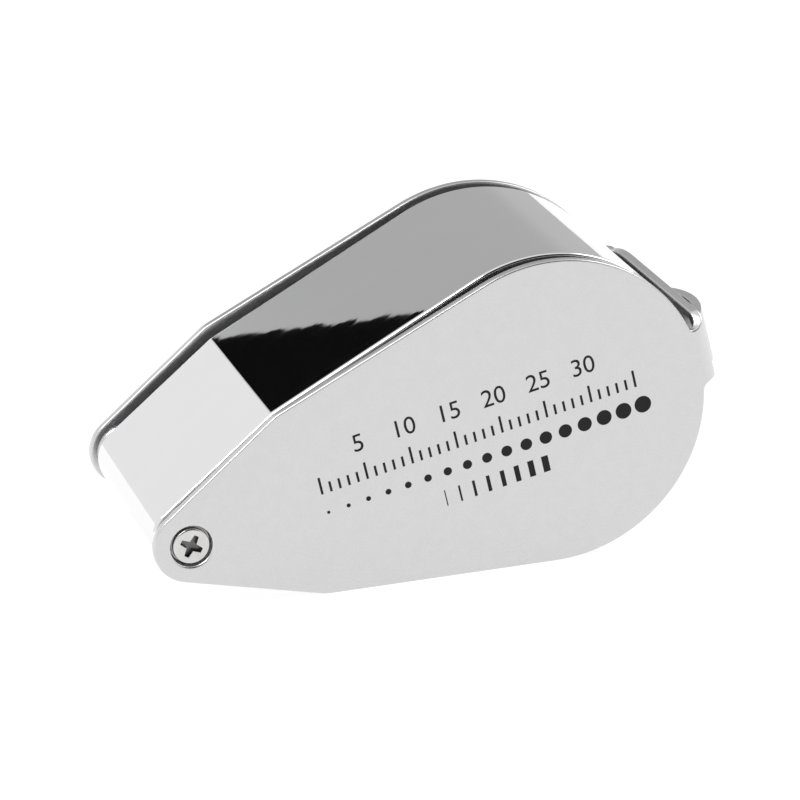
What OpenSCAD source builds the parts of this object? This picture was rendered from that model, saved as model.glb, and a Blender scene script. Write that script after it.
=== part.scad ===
// Folding illuminated hand lens: a bent sheet cover of two teardrop plates joined
// by a folded web, and a lens unit that swings out from between them on a screw
// pivot. The closed lens stands on the lower long flank of the plates.
// Axes of the drawing before it is stood up: X from the pivot to the wide end,
// Y through the thickness (front plate at -Y), Z across the plates.

/* [Cover] */
// Distance from the pivot to the centre of the wide end
reach = 40.4; // [30:0.1:60]
// Radius of the wide end of the plates
wide_r = 16.65; // [12:0.05:25]
// Radius of the plates round the pivot
nose_r = 3.95; // [3:0.05:6]
// Shoulder of the plate outline, measured along the long axis
shoulder_x = 12.0; // [8:0.1:18]
// Shoulder of the plate outline, measured across the long axis
shoulder_z = 10.43; // [7:0.01:14]
// Blend radius of the shoulder
shoulder_r = 6; // [2:0.5:12]
// Thickness of the closed lens over both plates
cover_t = 29.8; // [20:0.1:40]
// Sheet thickness
sheet = 1.0; // [0.6:0.1:1.6]
// Outer bend radius where the sheet folds into the web
bend_r = 1.6; // [1.2:0.1:3]
// Distance from the pivot to the outer face of the web
web_x = 58.6; // [45:0.1:80]
// Half height of the web
web_half = 4.3; // [2.5:0.1:8]
// Half width of the necks that join the web to the plates
neck_half = 3.05; // [2:0.05:6]
// Height of the web centre above the plate axis
web_rise = 0.3; // [-1:0.1:1]

/* [Lanyard loop] */
// Length of the loop along the web
loop_len = 11; // [7:0.5:14]
// Height of the loop above the web
loop_rise = 1.9; // [1.2:0.1:3]
// Half width of the loop strap
loop_half = 3.0; // [1.5:0.1:3.5]
// Distance from the front plate to the middle of the loop
loop_y = 8.3; // [7:0.1:15]
// Thickness of the loop strap
loop_t = 0.9; // [0.6:0.1:1.2]

/* [Pivot] */
// Screw head diameter
head_d = 3.9; // [3:0.1:6]
// Diameter of the pressed cup that takes the head
cup_d = 4.4; // [3.4:0.1:6.4]
// Depth of the pressed cup
cup_depth = 1.1; // [0.6:0.1:1.4]
// Screw shank diameter
shank_d = 2.0; // [1.6:0.1:3]
// Outside diameter of the threaded pivot barrel
barrel_d = 3.5; // [3:0.1:5]
// Running clearance round the barrel, per side
pivot_gap = 0.05; // [0.01:0.01:0.1]
// Outside diameter of the bush in the lens case
bush_d = 4.7; // [4:0.1:6]
// Thickness of the slip washers
washer_t = 0.45; // [0.3:0.05:1]

/* [Lens case] */
// Thickness of the lens case
case_t = 24.8; // [16:0.1:34]
// Radius of the wide end of the case
case_r = 16.6; // [11:0.05:24]
// Radius of the case round the pivot
case_nose = 3.55; // [2.8:0.05:5.6]
// Shoulder of the case outline, along the long axis
case_kx = 12.05; // [8:0.05:18]
// Shoulder of the case outline, across the long axis
case_kz = 9.75; // [6:0.05:13]
// Wall of the case
wall = 1.0; // [0.7:0.1:1.6]
// Width of the bevel round both rims of the case
rim = 0.3; // [0.1:0.05:0.6]

/* [Optics] */
// Diameter of the lenses
lens_d = 25; // [15:0.5:32]
// Surface radius of the eye lens
eye_r = 36; // [25:1:80]
// Surface radius of the field lens
field_r = 40; // [25:1:80]
// Edge thickness of the lenses
lens_edge = 2.0; // [1:0.1:4]
// Wall of the lens barrel
tube_wall = 1.2; // [0.8:0.1:2]
// Height of the bezels above the case faces
bezel_h = 0.5; // [0.3:0.1:0.9]

/* [Lamps and cells] */
// Diameter of a button cell
cell_d = 9.5; // [7:0.1:12]
// Thickness of a button cell
cell_t = 2.68; // [2:0.02:4]
// Place of the cells along the case
cell_x = 13.4; // [12:0.1:15]
// Diameter of each lamp
lamp_d = 5; // [3:0.1:5]
// Place of the lamps along the case
lamp_x = 22.6; // [21:0.1:23.5]
// Half spacing of the two lamps
lamp_z = 4.6; // [3.5:0.1:6]

/* [Switch] */
// Travel of the switch knob each way
switch_travel = 1.5; // [0.8:0.1:2.5]
// Place of the switch along the neck flank, from the pivot
switch_s = 9.2; // [7.5:0.1:11]
// Place of the switch across the thickness
switch_y = -4.6; // [-6:0.1:-4]
// Height of the knob above the case flank
knob_h = 0.8; // [0.4:0.1:1]

/* [Hidden] */
$fn = 96;
eps = 0.02;
hy = cover_t / 2;
cy = case_t / 2;
// stand-up: the long lower flank lies on the floor
span = sqrt(pow(reach - shoulder_x, 2) + pow(shoulder_z, 2));
tilt = asin(wide_r / span) - atan2(shoulder_z, reach - shoulder_x);
lift = wide_r - reach * sin(tilt);
loop_out = web_x + loop_rise;
x_far = loop_out * cos(tilt) - (web_rise - loop_half) * sin(tilt);
x_mid = (x_far - nose_r) / 2;
// pivot stack
cup_floor = 0.8;
boss_y = hy - cup_depth - cup_floor;
// round on the front end of the tab, its centre set in from the front face
tab_r = 1.8;
tab_in = 1.71;
tab_from = acos(-tab_in / tab_r);
// where the web starts and ends its taper into the back neck
taper_y = 6.5;
taper_end = hy - 2.0;
// optics along Y
tube_r = lens_d / 2 + 0.05 + tube_wall;
eye_sag = eye_r - sqrt(pow(eye_r, 2) - pow(lens_d / 2, 2));
field_sag = field_r - sqrt(pow(field_r, 2) - pow(lens_d / 2, 2));
eye_y0 = -cy + 0.8;
eye_back = eye_y0 + eye_sag + lens_edge;
field_y0 = 3.0;
field_front = field_y0 + field_sag;
field_back = field_front + lens_edge;
lip_r = lens_d / 2 - 0.6;
open_r = tube_r - 0.15;
// how far a lens face of radius r stands beyond the lens edge at a seat of radius s
function proud(r, s) = sqrt(pow(r, 2) - pow(s, 2)) - sqrt(pow(r, 2) - pow(lens_d / 2, 2));
spacer_r = lens_d / 2 - 0.8;
ring_y = field_back + proud(field_r, lens_d / 2 - 1) + eps;
// neck flank of the case, where the switch sits
neck_angle = atan2(case_kz, case_kx)
    - asin(case_nose / sqrt(pow(case_kx, 2) + pow(case_kz, 2)));
switch_x = switch_s * cos(neck_angle) - case_nose * sin(neck_angle);
switch_z = switch_s * sin(neck_angle) + case_nose * cos(neck_angle);
cell_y = cy - 1.55 - 3 * (cell_t + eps);
floor_y = cell_y - 1.25;

// stands the drawing on its lower flank and centres it over the origin
module pose() {
    translate([-x_mid, 0, lift]) rotate([0, -tilt, 0]) children();
}

// a slab of an outline between two depths
module slab(y0, y1) {
    translate([0, y1, 0]) rotate([90, 0, 0]) linear_extrude(y1 - y0) children();
}

// a round bar along the thickness
module rod(x, z, y0, y1, r) {
    translate([x, y1, z]) rotate([90, 0, 0]) cylinder(h = y1 - y0, r = r);
}

// a block given by its two corners
module block(a, b) {
    translate(a) cube([b[0] - a[0], b[1] - a[1], b[2] - a[2]]);
}

// teardrop slab: nose arc, straight flanks to a blended shoulder, then straight
// flanks running tangent into the wide arc
module teardrop(y0, y1, nr, kx, kz, wr, kr) {
    d1 = sqrt(kx * kx + kz * kz);
    a1 = atan2(kz, kx) + acos(nr / d1);
    d2 = sqrt(pow(reach - kx, 2) + kz * kz);
    a2 = atan2(kz, kx - reach) - acos(wr / d2);
    ab = (a1 + a2) / 2;
    back = kr / cos((a1 - a2) / 2);
    bx = kx - back * cos(ab);
    bz = kz - back * sin(ab);
    // the core stops a hair inside the arcs, so each flank meets its arc cleanly
    e = 0.002;
    p1 = [(nr - e) * cos(a1), (nr - e) * sin(a1)];
    q1 = [bx + (kr - e) * cos(a1), bz + (kr - e) * sin(a1)];
    q2 = [bx + (kr - e) * cos(a2), bz + (kr - e) * sin(a2)];
    p2 = [reach + (wr - e) * cos(a2), (wr - e) * sin(a2)];
    union() {
        slab(y0, y1) polygon([p1, q1, q2, p2, [p2[0], -p2[1]], [q2[0], -q2[1]],
            [q1[0], -q1[1]], [p1[0], -p1[1]]]);
        rod(0, 0, y0, y1, nr);
        rod(reach, 0, y0, y1, wr);
        for (s = [1, -1]) rod(bx, s * bz, y0, y1, kr);
    }
}

module plate(y0, y1) {
    teardrop(y0, y1, nose_r, shoulder_x, shoulder_z, wide_r, shoulder_r);
}

// a slab of the case outline, drawn in by inset
module case_slab(y0, y1, inset) {
    teardrop(y0, y1, case_nose - inset, case_kx + inset * 0.05,
        case_kz - inset * 1.04, case_r - inset, shoulder_r - inset);
}

// ---- cover ----

// folded tab in plan: straight web between two quarter bends, with short ends
// that lie in the plates
module fold_2d() {
    difference() {
        union() {
            translate([web_x - sheet, -hy + bend_r]) square([sheet, cover_t - 2 * bend_r]);
            for (s = [-1, 1]) translate([web_x - bend_r, s * (hy - bend_r)])
                intersection() {
                    circle(r = bend_r);
                    translate([0, s > 0 ? 0 : -bend_r]) square(bend_r);
                }
            for (s = [-1, 1]) translate([web_x - bend_r - 3, s > 0 ? hy - sheet : -hy])
                square([3, sheet]);
        }
        for (s = [-1, 1]) translate([web_x - bend_r, s * (hy - bend_r)])
            circle(r = bend_r - sheet);
    }
}

// side outline of the tab: full height web that rounds off into the front neck and
// tapers over its last stretch into the back neck
function tab_edge(side) = concat(
    [for (i = [0:6]) let (a = tab_from + (90 - tab_from) * i / 6)
        [-hy + tab_in + tab_r * cos(a), web_rise + side * (web_half - tab_r + tab_r * sin(a))]],
    [for (i = [0:6]) let (t = i / 6)
        [taper_y + t * (taper_end - taper_y),
            web_rise + side * (web_half - (web_half - neck_half) * t * t)]],
    [[hy, web_rise + side * neck_half]]);

module fold_side_2d() {
    upper = tab_edge(1);
    lower = tab_edge(-1);
    polygon(concat(upper, [for (i = [len(lower) - 1:-1:0]) lower[i]]));
}

// bridge pushed outward from the web, open above and below
module loop_2d() {
    R = (pow(loop_len / 2, 2) + pow(loop_rise, 2)) / (2 * loop_rise);
    intersection() {
        translate([web_x + loop_rise - R, -hy + loop_y]) difference() {
            circle(r = R);
            circle(r = R - loop_t);
        }
        translate([web_x - 0.6, -hy + loop_y - loop_len / 2])
            square([loop_rise + 1, loop_len]);
    }
}

module cup(s) {
    // metal pushed inward round the screw head
    if (s < 0) rod(0, 0, -hy + sheet - eps, -boss_y, cup_d / 2 + 0.7);
    else rod(0, 0, boss_y, hy - sheet + eps, cup_d / 2 + 0.7);
}

module cover_shell() {
    color("silver") pose() difference() {
        union() {
            plate(-hy, -hy + sheet);
            plate(hy - sheet, hy);
            cup(-1);
            cup(1);
            intersection() {
                translate([0, 0, web_rise - web_half])
                    linear_extrude(2 * web_half) fold_2d();
                translate([reach, 0, 0]) rotate([90, 0, 90])
                    linear_extrude(reach) fold_side_2d();
            }
            translate([0, 0, web_rise - loop_half])
                linear_extrude(2 * loop_half) loop_2d();
        }
        for (s = [-1, 1]) {
            y0 = s < 0 ? -hy - 1 : hy - cup_depth;
            rod(0, 0, y0, y0 + cup_depth + 1, cup_d / 2);
        }
        rod(0, 0, -hy - 1, -boss_y + 1, shank_d / 2 + 0.1);
        rod(0, 0, boss_y - 1, hy + 1, barrel_d / 2 + 0.05);
        // bevel at the mouth of each cup
        translate([0, -hy - eps, 0]) rotate([-90, 0, 0])
            cylinder(h = 0.3, r1 = cup_d / 2 + 0.17, r2 = cup_d / 2);
        translate([0, hy + eps, 0]) rotate([90, 0, 0])
            cylinder(h = 0.3, r1 = cup_d / 2 + 0.17, r2 = cup_d / 2);
        // window left in the web by the loop
        block([web_x - sheet - 1, -hy + loop_y - loop_len / 2 + 0.9,
            web_rise - loop_half - 0.15],
            [web_x + 0.25, -hy + loop_y + loop_len / 2 - 0.9, web_rise + loop_half + 0.15]);
    }
}

module cross(w, l, d) {
    // driver recess sunk from the -Y side
    for (a = [0, 90]) rotate([0, a, 0]) block([-l / 2, -eps, -w / 2], [l / 2, d, w / 2]);
}

module pivot_screw() {
    color("gainsboro") pose() difference() {
        union() {
            rod(0, 0, -hy + 0.1, -hy + cup_depth, head_d / 2 - 0.12);
            translate([0, -hy + 0.12, 0]) rotate([-90, 0, 0])
                cylinder(h = 0.25, r1 = head_d / 2 - 0.2, r2 = head_d / 2);
            rod(0, 0, -hy + 0.36, -hy + cup_depth, head_d / 2);
            rod(0, 0, -hy + cup_depth - eps, -hy + 12, shank_d / 2);
        }
        translate([0, -hy + 0.08, 0]) rotate([0, 20, 0]) cross(0.62, 2.5, 0.65);
    }
}

module pivot_barrel() {
    color("gainsboro") pose() difference() {
        union() {
            rod(0, 0, -boss_y, hy - cup_depth + eps, barrel_d / 2);
            rod(0, 0, hy - cup_depth, hy - 0.36, head_d / 2);
            translate([0, hy - 0.1, 0]) rotate([90, 0, 0])
                cylinder(h = 0.27, r1 = head_d / 2 - 0.2, r2 = head_d / 2);
        }
        rod(0, 0, -boss_y - 1, hy - 3, shank_d / 2 + eps);
        block([-3, hy - 0.6, -0.3], [3, hy + 1, 0.3]);
    }
}

module washer_at(y0) {
    difference() {
        rod(0, 0, y0, y0 + washer_t, 3.1);
        rod(0, 0, y0 - 1, y0 + washer_t + 1, barrel_d / 2 + 0.05);
    }
}

module front_washer() {
    color("black") pose() washer_at(-boss_y);
}

module back_washer() {
    color("black") pose() washer_at(boss_y - washer_t);
}

// ---- lens unit: metalwork ----

module at_switch() {
    translate([switch_x, switch_y, -switch_z]) rotate([0, neck_angle, 0]) children();
}

module lens_case() {
    color("silver") pose() difference() {
        union() {
            // both rims step in to a bevel
            case_slab(-cy + rim, cy - rim, 0);
            case_slab(-cy + rim * 0.5, cy - rim * 0.5, rim * 0.25);
            case_slab(-cy, cy, rim * 0.7);
        }
        case_slab(-cy + wall, cy + 1, wall);
        rod(reach, 0, -cy - 1, -cy + wall + 1, open_r);
        rod(0, 0, -cy - 1, -cy + wall + 1, bush_d / 2 + 0.01);
        at_switch() block([-1.35, -1.9 - switch_travel - 0.3, -1],
            [1.35, 1.9 + switch_travel + 0.3, wall + 0.4]);
    }
}

module hatch(y0, y1, g) {
    // battery hatch with a screw tab between the lamps, grown by g
    union() {
        block([cell_x - 5.4 - g, y0, -5.6 - g], [cell_x + 5.5 + g, y1, 5.6 + g]);
        block([cell_x + 5, y0, -1.7 - g], [cell_x + 8.4 + g, y1, 1.7 + g]);
    }
}

screw_at = [[4.7, 0], [25.6, 9.5], [25.6, -9.5]];

module case_cover() {
    color("silver") pose() difference() {
        case_slab(cy - wall, cy - 0.02, wall + 0.05);
        rod(reach, 0, cy - wall - 1, cy + 1, open_r);
        rod(0, 0, cy - wall - 1, cy + 1, bush_d / 2 + 0.01);
        hatch(cy - wall - 1, cy + 1, 0.05);
        for (s = [-1, 1]) rod(lamp_x, s * lamp_z, cy - wall - 1, cy + 1, lamp_d / 2 + 0.1);
        for (p = screw_at) {
            rod(p[0], p[1], cy - wall - 1, cy + 1, 0.75);
            rod(p[0], p[1], cy - 0.45, cy + 1, 1.25);
        }
    }
}

module case_screws() {
    color("gainsboro") pose() for (p = screw_at) difference() {
        union() {
            rod(p[0], p[1], cy - 5, cy - 0.44, 0.7);
            rod(p[0], p[1], cy - 0.45, cy + 0.25, 1.15);
        }
        translate([p[0], cy + 0.26, p[1]]) rotate([0, 0, 180]) rotate([0, 35, 0])
            cross(0.35, 1.5, 0.4);
    }
}

module pivot_bush() {
    color("goldenrod") pose() difference() {
        rod(0, 0, -cy, cy, bush_d / 2);
        rod(0, 0, -cy - 1, cy + 1, barrel_d / 2 + pivot_gap);
    }
}

// ---- lens unit: optics ----

module lens_barrel() {
    color("#202022") pose() difference() {
        rod(reach, 0, -cy + wall + eps, cy - wall - eps, tube_r);
        rod(reach, 0, -cy, cy, lip_r);
        rod(reach, 0, eye_y0 + eye_sag - proud(eye_r, lip_r) - eps, cy, lens_d / 2 + 0.05);
        // shallow grooves against stray light
        for (i = [0:4]) rod(reach, 0, -5.5 + 2 * i, -4.6 + 2 * i, lens_d / 2 + 0.3);
    }
}

module bezel(s) {
    y0 = s < 0 ? -cy - bezel_h : cy - wall;
    difference() {
        union() {
            rod(reach, 0, y0, y0 + bezel_h + wall, open_r - 0.04);
            if (s < 0) rod(reach, 0, -cy - bezel_h, -cy, open_r + 0.9);
            else rod(reach, 0, cy, cy + bezel_h, open_r + 0.9);
        }
        rod(reach, 0, -cy - 2, cy + 2, lip_r);
        if (s < 0) translate([reach, -cy - bezel_h - eps, 0]) rotate([-90, 0, 0])
            cylinder(h = 1, r1 = lip_r + 0.9, r2 = lip_r - 0.1);
        else translate([reach, cy + bezel_h + eps, 0]) rotate([90, 0, 0])
            cylinder(h = 1, r1 = lip_r + 0.9, r2 = lip_r - 0.1);
    }
}

module eye_bezel() {
    color("#303032") pose() bezel(-1);
}

module field_bezel() {
    color("#303032") pose() bezel(1);
}

// both faces are spheres of radius r; the front vertex is at depth y0
module lens(y0, r, sag) {
    intersection() {
        rod(reach, 0, y0 - 1, y0 + 2 * sag + lens_edge + 1, lens_d / 2);
        translate([reach, y0 + r, 0]) rotate([90, 0, 0]) sphere(r = r);
        translate([reach, y0 + 2 * sag + lens_edge - r, 0]) rotate([90, 0, 0]) sphere(r = r);
    }
}

module eye_lens() {
    color("lightcyan") pose() lens(eye_y0, eye_r, eye_sag);
}

module field_lens() {
    color("lightcyan") pose() lens(field_y0, field_r, field_sag);
}

module lens_spacer() {
    color("#2a2a2c") pose() difference() {
        rod(reach, 0, eye_back + proud(eye_r, spacer_r) + eps,
            field_front - proud(field_r, spacer_r) - eps, lens_d / 2);
        rod(reach, 0, eye_back - 1, field_front + 1, spacer_r);
    }
}

module field_ring() {
    color("#2a2a2c") pose() difference() {
        rod(reach, 0, ring_y, ring_y + 2.0, lens_d / 2);
        rod(reach, 0, field_back - 1, field_back + 4, lens_d / 2 - 1);
        // spanner slots
        block([reach - 15, ring_y + 1.2, -0.6], [reach + 15, ring_y + 4, 0.6]);
    }
}

// ---- lens unit: carrier and electrics ----

module inner_frame() {
    color("#1c1c1e") pose() difference() {
        case_slab(-cy + wall + 0.03, cy - wall - 0.03, wall + 0.08);
        rod(reach, 0, -cy, cy, tube_r + 0.05);
        rod(0, 0, -cy, cy, bush_d / 2 + 0.03);
        // room for the switch and the board, open to the front
        difference() {
            intersection() {
                case_slab(-cy, floor_y - 1.2, wall + 1.3);
                block([3.6, -cy - 1, -14], [25.8, cy, 14]);
            }
            rod(reach, 0, -cy, cy, tube_r + 1.1);
            rod(0, 0, -cy, cy, bush_d / 2 + 1.0);
            for (p = screw_at) rod(p[0], p[1], cy - 8, cy, 1.6);
        }
        // well for the cells
        rod(cell_x, 0, floor_y, cy, cell_d / 2 + 0.12);
        block([cell_x - 5.35, floor_y, -1.6], [cell_x - 4, cy, 1.6]);
        hatch(cy - 1.4, cy, 0.1);
        for (s = [-1, 1]) {
            rod(lamp_x, s * lamp_z, floor_y + 0.1, cy, lamp_d / 2 + 0.06);
            rod(lamp_x, s * lamp_z, floor_y + 0.1, floor_y + 1.7, lamp_d / 2 + 0.45);
            block([lamp_x - 1.7, floor_y - 2, s * lamp_z - 0.5],
                [lamp_x + 1.7, floor_y + 1, s * lamp_z + 0.5]);
        }
        for (p = screw_at) rod(p[0], p[1], cy - 5.2, cy, 0.72);
        rod(cell_x + 7, 0, cy - 5.2, cy, 0.62);
        // slots for the tails of the two contacts
        block([cell_x - 5.35, floor_y - 3, -1.2], [cell_x - 4.85, floor_y + 1, 1.2]);
        block([cell_x + 3.1, floor_y - 3, -1.2], [cell_x + 3.6, floor_y + 1, 1.2]);
        at_switch() block([-2.4, -5.2, 0.8], [2.4, 5.2, 7.6]);
    }
}

module lamp(s) {
    y0 = floor_y + 0.2;
    y1 = cy - 0.15;
    union() {
        rod(lamp_x, s * lamp_z, y0 + 0.1, y1 - lamp_d / 2, lamp_d / 2);
        translate([lamp_x, y1 - lamp_d / 2, s * lamp_z]) intersection() {
            rotate([90, 0, 0]) sphere(r = lamp_d / 2);
            rod(0, 0, -eps, lamp_d, lamp_d / 2 + 1);
        }
        difference() {
            rod(lamp_x, s * lamp_z, y0, y0 + 1.1, lamp_d / 2 + 0.4);
            block([lamp_x + lamp_d / 2, y0 - 1, s * lamp_z - 3],
                [lamp_x + lamp_d / 2 + 1, y0 + 2, s * lamp_z + 3]);
        }
        for (dx = [-1.27, 1.27]) block([lamp_x + dx - 0.22, floor_y - 3.4, s * lamp_z - 0.22],
            [lamp_x + dx + 0.22, y0 + 0.2, s * lamp_z + 0.22]);
    }
}

module led_white() {
    color("white") pose() lamp(1);
}

module led_uv() {
    color("mediumpurple") pose() lamp(-1);
}

module led_board() {
    color("darkgreen") pose() difference() {
        block([19.2, floor_y - 2.4, -7.8], [25.0, floor_y - 1.4, 7.8]);
        for (s = [-1, 1], dx = [-1.27, 1.27])
            rod(lamp_x + dx, s * lamp_z, floor_y - 4, floor_y, 0.34);
        for (s = [-1, 1]) rod(20.2, s * 7.0, floor_y - 4, floor_y, 0.45);
    }
}

module board_resistors() {
    color("#111111") pose() for (s = [-1, 1])
        block([20.4, floor_y - 3.0, s * 1.6 - 0.65], [23.8, floor_y - 2.4, s * 1.6 + 0.65]);
}

module switch_housing() {
    color("gray") pose() at_switch() difference() {
        union() {
            block([-1.9, -4.6, 1.95], [1.9, 4.6, 5.3]);
            for (i = [-1, 0, 1]) block([-0.25, 2.5 * i - 0.3, 5.2], [0.25, 2.5 * i + 0.3, 7.0]);
        }
        block([-0.95, -0.9 - switch_travel - 0.3, 1], [0.95, 0.9 + switch_travel + 0.3, 3.4]);
    }
}

module switch_slider() {
    color("#151515") pose() at_switch() difference() {
        union() {
            block([-1.05, -1.9, -knob_h], [1.05, 1.9, 1.4]);
            block([-1.7, -2.9, wall + 0.2], [1.7, 2.9, wall + 0.65]);
            block([-0.65, -0.6, 1.3], [0.65, 0.6, 3.1]);
        }
        for (i = [-2:2]) block([-2, 0.7 * i - 0.13, -knob_h - 1], [2, 0.7 * i + 0.13, -knob_h + 0.25]);
    }
}

module cell(i) {
    y0 = cell_y + i * (cell_t + eps);
    union() {
        rod(cell_x, 0, y0 + 0.45, y0 + cell_t, cell_d / 2);
        rod(cell_x, 0, y0, y0 + 0.5, cell_d / 2 - 0.9);
        rod(cell_x, 0, y0 + 0.25, y0 + 0.5, cell_d / 2 - 0.45);
    }
}

module cell_1() {
    color("silver") pose() cell(0);
}

module cell_2() {
    color("silver") pose() cell(1);
}

module cell_3() {
    color("silver") pose() cell(2);
}

module contact_neg() {
    // sprung leaf under the stack, with a tail through the floor of the well
    color("gold") pose() union() {
        block([cell_x - 3.6, floor_y + eps, -1.1], [cell_x + 3.5, floor_y + 0.27, 1.1]);
        translate([0, 0, -1.1]) linear_extrude(2.2) polygon([
            [cell_x - 3.6, floor_y + eps], [cell_x - 3.3, floor_y + eps],
            [cell_x + 0.6, cell_y - 0.27], [cell_x + 2.6, floor_y + 0.7],
            [cell_x + 2.6, floor_y + 0.95], [cell_x + 0.6, cell_y - eps],
            [cell_x - 3.6, floor_y + 0.27]]);
        block([cell_x + 3.2, floor_y - 3, -1.1], [cell_x + 3.5, floor_y + 0.27, 1.1]);
    }
}

module contact_pos() {
    // strip over the top cell, down the side of the well and through its floor
    top = cell_y + 3 * (cell_t + eps);
    color("gold") pose() union() {
        block([cell_x - 5.3, top + eps, -1.1], [cell_x + 2.5, top + 0.24, 1.1]);
        block([cell_x - 5.3, floor_y - 3, -1.1], [cell_x - 5.02, top + 0.24, 1.1]);
    }
}

module battery_cover() {
    color("#1c1c1e") pose() difference() {
        union() {
            hatch(cy - 0.95, cy - 0.05, 0);
            for (i = [-1, 0, 1]) block([cell_x - 3.4, cy - 0.1, i * 1.0 - 0.25 - 2.6],
                [cell_x + 3.4, cy + 0.15, i * 1.0 + 0.25 - 2.6]);
        }
        rod(cell_x + 7, 0, cy - 2, cy + 1, 0.68);
        rod(cell_x + 7, 0, cy - 0.45, cy + 1, 1.1);
    }
}

module battery_screw() {
    color("gainsboro") pose() difference() {
        union() {
            rod(cell_x + 7, 0, cy - 4.6, cy - 0.44, 0.6);
            rod(cell_x + 7, 0, cy - 0.45, cy + 0.2, 1.0);
        }
        translate([cell_x + 7, cy + 0.21, 0]) rotate([0, 0, 180]) rotate([0, 15, 0])
            cross(0.3, 1.3, 0.35);
    }
}

// round wire through a list of points
module wire(pts, r) {
    $fn = 10;
    for (i = [0:len(pts) - 2]) {
        v = pts[i + 1] - pts[i];
        translate(pts[i]) rotate([0, acos(v[2] / norm(v)), atan2(v[1], v[0])])
            cylinder(h = norm(v), r = r);
    }
    for (p = pts) translate(p) sphere(r = r);
}

module red_wire() {
    y = floor_y - 4.2;
    color("red") pose() wire([[cell_x - 4.3, floor_y - 2.9, 0], [cell_x - 3.4, y, 0.8],
        [cell_x + 1, y, 3.4], [18.6, y, 5.2], [20.2, y + 0.6, 7.0], [20.2, floor_y - 2.0, 7.0]], 0.4);
}

module black_wire() {
    y = floor_y - 5.4;
    color("#222222") pose() wire([[cell_x + 4.4, floor_y - 2.9, 0], [cell_x + 4.4, y, -1.6],
        [18.6, y, -4.6], [20.2, y + 0.8, -7.0], [20.2, floor_y - 2.0, -7.0]], 0.4);
}

cover_shell();
pivot_screw();
pivot_barrel();
front_washer();
back_washer();
lens_case();
case_cover();
case_screws();
inner_frame();
pivot_bush();
lens_barrel();
eye_bezel();
field_bezel();
eye_lens();
lens_spacer();
field_lens();
field_ring();
led_white();
led_uv();
led_board();
board_resistors();
switch_housing();
switch_slider();
cell_1();
cell_2();
cell_3();
contact_neg();
contact_pos();
battery_cover();
battery_screw();
red_wire();
black_wire();
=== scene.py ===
"""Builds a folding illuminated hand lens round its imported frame."""

import math
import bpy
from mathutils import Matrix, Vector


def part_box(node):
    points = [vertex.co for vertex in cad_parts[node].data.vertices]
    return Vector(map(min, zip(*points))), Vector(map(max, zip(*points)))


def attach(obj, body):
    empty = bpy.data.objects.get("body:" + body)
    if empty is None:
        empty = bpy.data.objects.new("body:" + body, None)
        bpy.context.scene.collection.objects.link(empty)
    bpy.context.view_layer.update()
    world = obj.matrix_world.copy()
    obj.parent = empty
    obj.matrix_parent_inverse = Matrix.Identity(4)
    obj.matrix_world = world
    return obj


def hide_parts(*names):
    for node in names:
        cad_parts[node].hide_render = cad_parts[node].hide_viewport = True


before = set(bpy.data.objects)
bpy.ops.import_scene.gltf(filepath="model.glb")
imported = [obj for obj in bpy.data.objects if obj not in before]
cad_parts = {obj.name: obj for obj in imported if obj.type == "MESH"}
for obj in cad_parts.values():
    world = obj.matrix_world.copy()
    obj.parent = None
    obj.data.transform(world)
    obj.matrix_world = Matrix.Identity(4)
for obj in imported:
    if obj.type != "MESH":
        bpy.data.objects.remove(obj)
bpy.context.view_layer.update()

from types import SimpleNamespace

import bmesh
import bpy
from bpy.props import FloatProperty, FloatVectorProperty, IntProperty, PointerProperty
from mathutils import Matrix, Vector
from mathutils.geometry import delaunay_2d_cdt

bl_info = {
    "name": "Folding Hand Lens",
    "version": (1, 0, 0),
    "blender": (4, 5, 0),
    "location": "View3D > Sidebar > Hand Lens",
    "description": "Builds a folding illuminated hand lens round its packed frame",
    "category": "Add Mesh",
}

MM = 0.001
# how far the faces of this model stay inside those of the frame
FACE_INSET = 0.02


# ---- settings ----

def length(label, millimetres, note):
    """A size in the sidebar, given here in millimetres."""
    return FloatProperty(name=label, description=note, default=millimetres * MM, min=0.0,
                         unit="LENGTH", precision=5)


def colour(label, value, note):
    """A colour in the sidebar."""
    return FloatVectorProperty(name=label, description=note, default=value, size=3,
                               min=0.0, max=1.0, subtype="COLOR")


class CoverSizes(bpy.types.PropertyGroup):
    """Sizes of the folded sheet cover."""
    reach: length("Reach", 40.4, "From the pivot to the centre of the wide end")
    wide_r: length("Wide end radius", 16.65, "Radius of the wide end of the plates")
    nose_r: length("Nose radius", 3.95, "Radius of the plates round the pivot")
    shoulder_x: length("Shoulder along", 12.0, "Shoulder of the plates, along the axis")
    shoulder_z: length("Shoulder across", 10.43, "Shoulder of the plates, across the axis")
    shoulder_r: length("Shoulder blend", 5.0, "Blend radius of the shoulder")
    thick: length("Closed thickness", 29.8, "Thickness over both plates")
    sheet: length("Sheet", 1.0, "Thickness of the sheet")
    bend_r: length("Bend radius", 1.6, "Outer radius of the two folds")
    web_x: length("Web distance", 58.6, "From the pivot to the outer face of the web")
    web_half: length("Web half height", 4.3, "Half the height of the web")
    neck_half: length("Neck half width", 3.05, "Half the width of the necks at the folds")
    web_rise: length("Web rise", 0.3, "Height of the web centre above the axis")
    edge_r: length("Edge rounding", 0.17, "Rounding of the tumbled sheet edges")
    loop_len: length("Loop length", 11.0, "Length of the lanyard loop")
    loop_rise: length("Loop height", 1.9, "Height of the lanyard loop above the web")
    loop_half: length("Loop half width", 3.0, "Half the width of the loop strap")
    loop_y: length("Loop place", 8.3, "From the front plate to the middle of the loop")
    cup_r: length("Cup radius", 2.2, "Radius of the pressed pivot cups")
    cup_depth: length("Cup depth", 1.1, "Depth of the pressed pivot cups")
    cup_floor: length("Cup floor", 0.8, "Thickness of the floor of the cups")


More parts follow.
